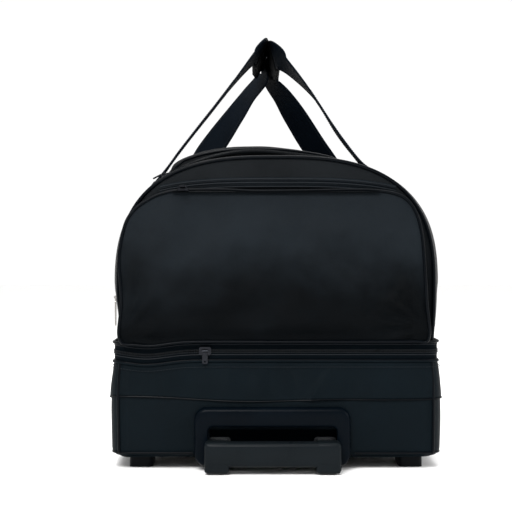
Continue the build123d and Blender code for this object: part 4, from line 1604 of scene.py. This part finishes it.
@dataclass
class Lid:
    """The puffed lid over the mouth, and the zip round its free edges."""

    form: BagForm
    d: tuple[float, float] = (75.0, 529.0)
    outline: tuple[tuple[float, float], ...] = (
(-121.8, 331.5), (-120.6, 336.0), (-117.5, 341.6), (-108.0, 348.2), (-95.0, 353.2),
        (-82.0, 357.0), (-56.5, 361.5), (-27.0, 362.8), (-6.0, 362.2), (15.0, 360.2),
        (36.7, 356.2), (60.0, 350.2), (72.0, 345.0), (83.0, 340.4),
    )

    def line(self, count: int) -> np.ndarray:
        """The lid's section across the bag as x and z."""
        return curve_through(self.outline, count)

    def skin(self, x: np.ndarray) -> np.ndarray:
        """Height of the bag's own top at x."""
        return self.form.top_z(x, np.full_like(x, 200.0))

    def shell(self) -> Patch:
        """The section carried along the bag, falling to the skin at both ends.

        Height over the skin is scaled by sqrt(1 - (1 - e)^2) with e the share of a 17 mm run from
        the end, so that the ends are round.
        """
        line = self.line(90)
        run = np.array([0.0, 0.4, 1.2, 2.6, 4.6, 7.4, 11.0, 15.5, 21.0])
        first, last = self.d
        middle = np.linspace(first + 30, last - 30, 60)
        d = np.concatenate([first + run, middle, last - run[::-1]])
        e = np.clip(np.minimum(d - first, last - d) / 17.0, 0, 1)
        lift = np.sqrt(1 - (1 - e) ** 2)[:, None]
        x, z = np.broadcast_to(line[:, 0], (len(d), 90)), line[None, :, 1]
        skin = self.skin(x) + 1.6
        height = skin + (z - skin) * (0.22 + 0.78 * lift)
        dd = np.broadcast_to(d[:, None], x.shape)
        p = np.stack([x, self.form.near + dd, height], -1)
        wave = slack(p, 1.2, 120.0, 51) + slack(p, 0.5, 45.0, 52)
        p[..., 2] += wave * np.clip((z - skin) / 12, 0, 1) * lift
        return Patch.grid(p).facing(towards=(0, 0, 1))

    def edge(self, count: int = 300) -> tuple[np.ndarray, np.ndarray]:
        """The line of the free edges' zip, from the near end along the left side to the far end."""
        a, b = self.d
        left, middle = -121.6, (a + b) / 2
        start = [(70.0, 1.5), (30.0, 2.0), (-20.0, 2.0), (-70.0, 2.0), (-108.0, 1.0)]
        start += [(-119.5, -6.0), (left, -20.0), (left, -100.0)]
        near = [(x, a - out) for x, out in start]
        far = [(x, b + out) for x, out in start]
        path = [*near, (left, middle), *far[::-1]]
        flat = curve_through(path, count)
        x, d = flat[:, 0], flat[:, 1]
        climb = 7.5 * bell(x + 30, 62) * bell(np.minimum(np.abs(d - a), np.abs(d - b)), 14)
        p = np.stack([x, self.form.near + d, self.skin(x) + 2.6 + climb], -1)
        out = np.gradient(flat, axis=0)
        return p, unit(np.stack([-out[:, 1], out[:, 0], 0.5 * np.ones(count)], -1))

    def build(self) -> None:
        """Makes the lid, its zip and the tape on the bag's side."""
        edge, out = self.edge()
        d = edge[:, 1] - self.form.near
        end = np.where(d < 300, self.d[0] + 2.0, self.d[1] - 2.0)
        at_end = smooth((edge[:, 0] + 118) / 13) * (np.abs(d - end) < 12)
        line = self.line(90)
        skin = self.skin(edge[:, 0]) + 1.6
        crest = skin + (np.interp(edge[:, 0], line[:, 0], line[:, 1]) - skin) * 0.62 + 0.9
        held = edge + [0, 0, 1.6]
        held[:, 1] += (self.form.near + end - held[:, 1]) * at_end
        held[:, 2] += (crest - held[:, 2]) * at_end
        rim = [(self.shell(), Wear.LID), (cord_along(held, 1.7, UP), Wear.PIPING)]
        outwards = out * np.array([-1.0, -1.0, 1.0])
        side = np.sign(np.sum(outwards[:, :2] * (edge[:, :2] - [-20, 17]), axis=1))[:, None]
        outwards = outwards * np.concatenate([side, side, np.ones_like(side)], 1)
        body_line = edge + outwards * [3.4, 3.4, 0] + [0, 0, -1.6]
        Piece("lid_cloth", "lid", "fabric_lid", ("lid_panel",)).make(rim, wall=1.6, sharp=70)
        skin = self.skin(body_line[:, 0])
        body_line[:, 2] = np.maximum(skin + 1.0, body_line[:, 2] - 1.0)
        coil = teeth(edge + outwards * [1.6, 1.6, 0.4], unit(outwards), (1.25, 2.2, 1.6))
        lean = unit(np.array([-0.458, 0.0, 0.889]))
        across = np.cross(lean, LENGTHWISE)
        y = np.linspace(self.form.near + 78, self.form.near + 526, 90)
        foot = np.stack([-127.1 + 0 * y, y, 326.9 + 0 * y], -1)
        tape, rows = zip_rows(foot, across, lean, 0.6)
        bed = swept(foot - lean * 2.4, across, lean, rounded(16.0, 4.0, 1.9, 3))
        welt = [
            (cord_along(body_line, 1.5, UP), Wear.TAPE),
            (coil, Wear.COIL),
            (tape, Wear.TAPE),
            (bed, Wear.SHELL),
            *((row, Wear.COIL) for row in rows),
        ]
        Piece("lid_zip_chain", "upper", "zip_tape", ("lid_zip",)).make(welt)


# ---------------------------------------------------------------- handles


@dataclass
class CarryHandle:
    """One carry handle: webbing from foot to foot through a padded wrap.

    Stations are (x, distance from the trolley end, z over the crown, turn of the face in radians).
    """

    form: BagForm
    tag: str
    near: tuple[tuple[float, float, float], ...]
    far: tuple[tuple[float, float, float, float], ...]
    centre: tuple[float, float]
    lean: tuple[float, float]
    crown: float = 347.0
    grip: tuple[float, float] = (262.0, 385.0)
    thick: float = 2.5

    def stations(self) -> tuple[np.ndarray, np.ndarray]:
        """Points and width directions of the webbing's stations.

        The near strand and the grip keep one face direction; the far strand's face turns by each
        station's own angle between lying across the bag and standing on edge.
        """
        f = self.form
        lean = unit(np.array([self.lean[0], 0.0, self.lean[1]]))
        face = np.array([-lean[2], 0.0, lean[0]])
        near = np.array([(x, f.near + y, self.crown + z) for x, y, z in self.near])
        mid = np.array([self.centre[0], 0.0, self.crown + self.centre[1]])
        grip = np.array([mid + [0, f.near + y, 0] for y in self.grip])
        far = np.array([(x, f.near + y, self.crown + z) for x, y, z, _ in self.far])
        points = np.concatenate([near, grip, far])
        run = unit(np.diff(np.concatenate([near, grip[:1]]), axis=0))
        lengthwise = np.array([0.0, 0.993, 0.115])
        turn_way = 1.0 if face[0] < 0 else -1.0
        edge_on = unit(lengthwise - run * (run @ lengthwise)[:, None]) * turn_way
        leaning = unit(np.cross(np.broadcast_to(face, run.shape), run))
        turned = smooth((np.arange(len(run)) - len(run) + 2.7) / 2.5)[:, None]
        across = unit(edge_on + (leaning - edge_on) * turned)
        across[0] = [0.0, turn_way, 0.0]
        grip_across = np.cross(face, [0.0, 1.0, 0.0])
        across = np.concatenate([across, [grip_across, grip_across]])
        turn = np.array([t for *_, t in self.far])[:, None]
        chain = np.concatenate([grip[1:], far])
        ahead = np.concatenate([far[1:], far[-1:]])
        along = unit(ahead - chain[:-1])
        along[-1] = unit(along[-1] * [1, 0, 1])
        flat = unit(np.stack([along[:, 2], 0 * along[:, 0], -along[:, 0]], -1))
        edge_on = unit(np.cross(along, flat))
        far_across = unit(np.cos(turn) * flat + np.sin(turn) * edge_on)
        whole = np.concatenate([across, far_across])
        agree = np.sign(np.sum(whole[1:] * whole[:-1], axis=1))
        flips = np.concatenate([[1.0], np.cumprod(np.where(agree == 0, 1.0, agree))])
        return points, whole * flips[:, None]

    def webbing(self) -> tuple[Patch, np.ndarray, np.ndarray, np.ndarray]:
        """The strap as a rounded flat profile along a smooth curve through the stations."""
        points, across = self.stations()
        fine = curve_through(np.concatenate([points, across * 40], axis=1), 170)
        path = fine[:, :3]
        side = unit(fine[:, 3:])
        run = unit(np.gradient(path, axis=0))
        side = unit(side - run * np.sum(side * run, axis=1, keepdims=True))
        up = unit(np.cross(side, run))
        profile = rounded(WEB_WIDTH, self.thick, 1.1, 2)
        dense = np.linspace(-1, 1, 9)[1:-1, None] * [WEB_WIDTH / 2 - 1.1, 0]
        top = dense[::-1] + [0, self.thick / 2]
        low = dense + [0, -self.thick / 2]
        corners = np.split(profile, 4)
        shape = np.concatenate([corners[0], top, corners[1], corners[2], low, corners[3]])
        return swept(path, side, up, shape), path, side, up

    def wrap(self, length: float) -> Patch:
        """The padded wrap round the grip: a soft oblong, thinner at its ends and puckered."""
        points, across = self.stations()
        n = len(self.near)
        a, b = points[n], points[n + 1]
        t = np.linspace(0, 1, 60)
        middle = (a + b) / 2
        run = np.array([0.0, 1.0, 0.0])
        path = middle + (t[:, None] - 0.5) * length * run
        side, up = unit(across[n]), unit(np.cross(across[n], run))
        taper = 1 - 0.4 * np.abs(2 * t - 1) ** 14
        pucker = 1 + 0.006 * np.sin(t * 44 + 1.0) + 0.008 * np.sin(t * 23)
        ring = rounded(WEB_WIDTH + 2.4, 7.4, 3.2, 5)
        swell = 1 + 0.08 * (1 - (ring[:, 0] / 21) ** 2)
        ring = ring * np.stack([np.ones(len(ring)), swell], -1)
        profile = ring[None] * (taper * pucker)[:, None, None]
        return swept(path, side, up, profile)

    def joining(self, share: str, foot: np.ndarray, next_up: np.ndarray) -> None:
        """The folded end of the webbing between the sewn strap and the swinging handle.

        It lies on the side at its start and reaches the handle's foot at its end; it is hung on neither
        body.
        """
        f = self.form
        sign = math.copysign(1.0, foot[0])
        d = np.full(3, foot[1] - f.near)
        z = np.array([292.0, 300.0, 308.0])
        lie = f.wall_x(z, d, np.full(3, sign)) + 3.6
        low = np.stack([sign * lie, np.full(3, foot[1]), z], -1)
        ahead = unit((next_up - foot) * [1, 0, 1])
        away = unit(np.array([-ahead[2], 0, ahead[0]])) * (1.0 if -ahead[2] * sign > 0 else -1.0)
        high = np.stack([foot + away * 0.6, foot + ahead * 5 + away * 0.4])
        path = curve_through(np.concatenate([low, high]), 40)
        up = unit(np.cross(LENGTHWISE, unit(np.gradient(path, axis=0))))
        fold = swept(path, LENGTHWISE, up, rounded(WEB_WIDTH + 0.8, 3.0, 1.1, 2))
        crosses = f"handle_{self.tag}", low[2] * MM, foot * MM
        piece = Piece(f"carry_fold_{self.tag}_{share}", "upper", "webbing", crosses=crosses)
        piece.make([(fold, Wear.WEBBING)])

    def build(self) -> None:
        """Makes the strap with its stitch rows, the padded wrap and the folds at its feet."""
        strap, path, side, up = self.webbing()
        points = self.stations()[0]
        rows = []
        for k in (-STITCH_OFFSET, STITCH_OFFSET):
            for face in (-1.0, 1.0):
                line = path + side * k + up * face * (self.thick / 2 + 0.15)
                rows += [(stitches(line[2:44], up[2:44] * face, 3.2), Wear.THREAD)]
                rows += [(stitches(line[-44:-2], up[-44:-2] * face, 3.2), Wear.THREAD)]
        body = f"handle_{self.tag}"
        node = Piece(f"carry_web_{self.tag}", body, "webbing", (f"handle_webbing_{self.tag}",))
        web = node.make([(strap, Wear.WEBBING), *rows])
        pad = Piece(f"carry_wrap_{self.tag}", body, "grip_wrap", (f"handle_grip_{self.tag}",))
        wrap = pad.make([(self.wrap(self.grip[1] - self.grip[0] - 8), Wear.GRIP_WRAP)])
        for obj in (web, wrap):
            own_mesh(obj)
        for share, station in (("near", points[0]), ("far", points[-1])):
            self.joining(share, station, points[1] if share == "near" else points[-2])


LEFT_HANDLE = {
    "near": (
        (-143.5, 126, -29.5), (-131, 133, -12), (-118, 143, 8), (-96, 163, 39.5),
        (-74, 182, 70), (-52, 206, 102), (-29, 236, 135),
    ),
    "far": (
        (-12, 398, 137, 1.1), (-32, 406, 112, 0.95), (-51, 416, 86, 0.75), (-88, 440, 38, 0.45),
        (-124, 461, 0, 1.25), (-143.5, 474, -29.5, math.pi / 2),
    ),
    "centre": (-16.0, 152.0),
    "lean": (0.43, 0.9),
}
RIGHT_HANDLE = {
    "near": (
        (143.5, 127, -29.5), (128, 136, -16), (110, 147, -6), (92, 165, 18), (73.6, 182, 46),
        (47.5, 206, 91), (20, 236, 127),
    ),
    "far": (
        (-2, 408, 133, 1.1), (17, 412, 108, 0.9), (35, 420, 81, 0.65), (66, 442, 36, 0.6),
        (100, 462, 2, 1.15), (143.5, 475, -29.5, math.pi / 2),
    ),
    "centre": (0.6, 147.5),
    "lean": (-0.28, 0.96),
}


# ---------------------------------------------------------------- hard parts


@dataclass
class TrolleyEnd:
    """The moulded bezel with its recess, and the grip parked in front of it."""

    form: BagForm
    recess: tuple[float, float, float, float] = (-74.5, 66.5, 8.0, 47.5)
    foot_width: float = 27.0
    bar_z: tuple[float, float] = (8.0, 34.0)
    bar_back: float = -306.0

    def _standing(self, rings: np.ndarray, depth: np.ndarray) -> Patch:
        """Rings of x and z, each its own depth in front of the near end."""
        y = np.broadcast_to(self.form.near - depth[:, None], rings.shape[:2])
        return Patch.grid(np.stack([rings[..., 0], y, rings[..., 1]], -1), wrap_v=True)

    def bezel(self) -> list[tuple[Patch, Wear]]:
        """Rings from the outer outline to the recess's: outer + t (recess - outer) at each depth."""
        box = [corner("trolley_bezel", which, axis) for axis in (0, 2) for which in (0, 1)]
        outer, inner = (
            rounded(x1 - x0, z1 - z0, radius, 8) + [(x0 + x1) / 2, (z0 + z1) / 2]
            for (x0, x1, z0, z1), radius in ((box, 13.0), (self.recess, 6.0))
        )
        a = np.linspace(0, np.pi / 2, 7)
        lip = 0.88 + 0.12 * np.sin(a[1:])
        share = np.concatenate([[0, 0], 0.26 * (1 - np.cos(a)), [0.5, 0.8], lip])
        depth = np.concatenate([[-10.8, 0], 9 + 6 * np.sin(a), [15, 14.8], 12.2 + 2.5 * np.cos(a[1:])])
        front = outer + share[:, None, None] * (inner - outer)
        middle = inner.mean(0)
        shrink = np.array([1, 1, 1, 0.9, 0.5, 0.02])
        hollow = middle + shrink[:, None, None] * (inner - middle)
        well = self._standing(hollow, np.array([12.2, 0, -9.0, -9.4, -9.4, -9.4]))
        n = len(inner)
        well.ends = [list(range(5 * n, 6 * n))]
        return [
            (self._standing(front, depth).facing(towards=(0, -1, 0)), Wear.BEZEL),
            # The recess well takes painted shade: a darker, duller finish than the bezel round it.
            (well.facing(towards=(0, -1, 0)), Wear.SHADED_RECESS),
        ]

    def build(self) -> None:
        """Makes the bezel and the grip."""
        bezel = Piece("bezel_moulding", "base", "bezel_plastic", ("trolley_bezel",))
        bezel.make(self.bezel(), sharp=65, merge=True)
        low, high = ([corner("trolley_grip", which, axis) for axis in range(3)] for which in (0, 1))
        (x0, y0, z0), (x1, y1, z1) = low, high
        parts = [
            rounded_block((a, y0 + 0.4, z0), (a + self.foot_width, y1, z1), 4.2)
            for a in (x0, x1 - self.foot_width)
        ]
        bar_low, bar_high = self.bar_z
        parts.append(rounded_block((x0 + 1.2, y0, bar_low), (x1 - 1.2, self.bar_back, bar_high), 4.6))
        grip = Piece("grip_moulding", "trolley_handle", "grip_plastic", ("trolley_grip",))
        grip.make([(part, Wear.GRIP) for part in parts], sharp=65)


@dataclass
class HardParts:
    """The CAD nodes that stay as they are, with their finishes."""

    finishes: dict[str, Wear] = field(
        default_factory=lambda: {
            "release_trigger": Wear.TRIGGER,
            "trolley_tube": Wear.TUBE,
            "tube_collars": Wear.COLLAR,
            "tube_mount": Wear.COLLAR,
            "wheel_housing": Wear.SKID,
            "wheel_tyre": Wear.TYRE,
            "wheel_hub": Wear.HUB,
            "wheel_axles": Wear.AXLE,
            "skid_feet": Wear.SKID,
            "base_board": Wear.BOARD,
            "slider_side": Wear.NICKEL,
            "puller_side": Wear.NICKEL,
            "slider": Wear.ZINC,
            "puller": Wear.ZINC,
        }
    )

    def build(self) -> None:
        """Gives every visible CAD node the first finish whose name it starts with."""
        for name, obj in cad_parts.items():
            if obj.hide_render:
                continue
            wear = next((w for start, w in self.finishes.items() if name.startswith(start)), None)
            if wear is None:
                log.warning("%s has no finish", name)
                continue
            if not obj.material_slots:
                obj.data.materials.append(wear.material)
            for held in obj.material_slots:
                held.material = wear.material
            log.info("%s: %s", name, wear.value.name)


# ---------------------------------------------------------------- studio


@dataclass
class Studio:
    """Floor, lights and camera."""

    form: BagForm
    lens: float = 95.8
    distance: float = 1500.0
    eye: tuple[float, float] = (-22.0, 235.0)
    floor_half: float = 9000.0
    floor_z: float = -0.4
    world_strength: float = 1.03

    def floor(self) -> None:
        """A plain pale floor."""
        side = np.linspace(-self.floor_half, self.floor_half, 3)
        x, y = np.meshgrid(side, side, indexing="ij")
        patch = Patch.grid(np.stack([x, y, 0 * x + self.floor_z], -1)).facing(towards=UP)
        mesh = bpy.data.meshes.new("floor")
        mesh.from_pydata((patch.points * MM).tolist(), [], patch.quads.tolist())
        paint = Grained("floor paint", (0.96, 0.955, 0.95), rough=0.7, vary=0.006, specular=0.1)
        mesh.materials.append(paint.material())
        obj = bpy.data.objects.new("floor", mesh)
        bpy.context.scene.collection.objects.link(obj)

    def lamp(
        self, name: str, spot: Sequence[float], aim: Sequence[float], size: float, power: float
    ) -> None:
        """A square area light of size metres and power watts at spot, aimed at a point."""
        data = bpy.data.lights.new(name, "AREA")
        data.size = size
        data.energy = power
        obj = bpy.data.objects.new(name, data)
        direction = unit(np.asarray(aim, float) - np.asarray(spot, float))
        obj.location = Vector(spot)
        obj.rotation_euler = Vector(direction).to_track_quat("-Z", "Y").to_euler()
        bpy.context.scene.collection.objects.link(obj)

    def surroundings(self) -> None:
        """Even white light from all round."""
        world = bpy.data.worlds.new("surroundings")
        world.use_nodes = True
        back = world.node_tree.nodes["Background"]
        back.inputs["Color"].default_value = (1.0, 1.0, 1.0, 1.0)
        back.inputs["Strength"].default_value = self.world_strength
        bpy.context.scene.world = world

    def build(self) -> None:
        """Sets the floor, the pale surroundings, three soft lights and the camera."""
        self.floor()
        self.surroundings()
        self.lamp("key", (-0.5, -1.9, 1.75), (0, -0.3, 0.25), 1.1, 70)
        self.lamp("fill", (1.9, -1.2, 1.1), (0, 0, 0.25), 1.0, 16)
        self.lamp("top", (0.1, 0.3, 2.4), (0, 0, 0.3), 1.6, 60)
        lens = bpy.data.cameras.new("camera")
        lens.lens = self.lens
        lens.sensor_width = 36.0
        lens.clip_end = 50.0
        camera = bpy.data.objects.new("camera", lens)
        spot = np.array([self.eye[0], self.form.near - self.distance, self.eye[1]])
        camera.location = Vector(spot * MM)
        camera.rotation_euler = (math.pi / 2, 0.0, 0.0)
        bpy.context.scene.collection.objects.link(camera)
        bpy.context.scene.camera = camera
        bpy.context.scene.view_settings.view_transform = "Standard"


def main() -> None:
    """Builds the bag piece by piece, then the studio."""
    logging.basicConfig(level=logging.INFO, format="%(message)s")
    form = BagForm()
    LowerCompartment(form).build()
    BeltZip(form).build()
    UpperCompartment(form).build()
    EndPocket(form).build()
    Side(form, -1.0).build()
    Side(form, 1.0).build()
    Lid(form).build()
    CarryHandle(form, "left", **LEFT_HANDLE).build()
    CarryHandle(form, "right", **RIGHT_HANDLE).build()
    TrolleyEnd(form).build()
    HardParts().build()
    Studio(form).build()
    bpy.context.view_layer.update()


if __name__ == "__main__":
    main()
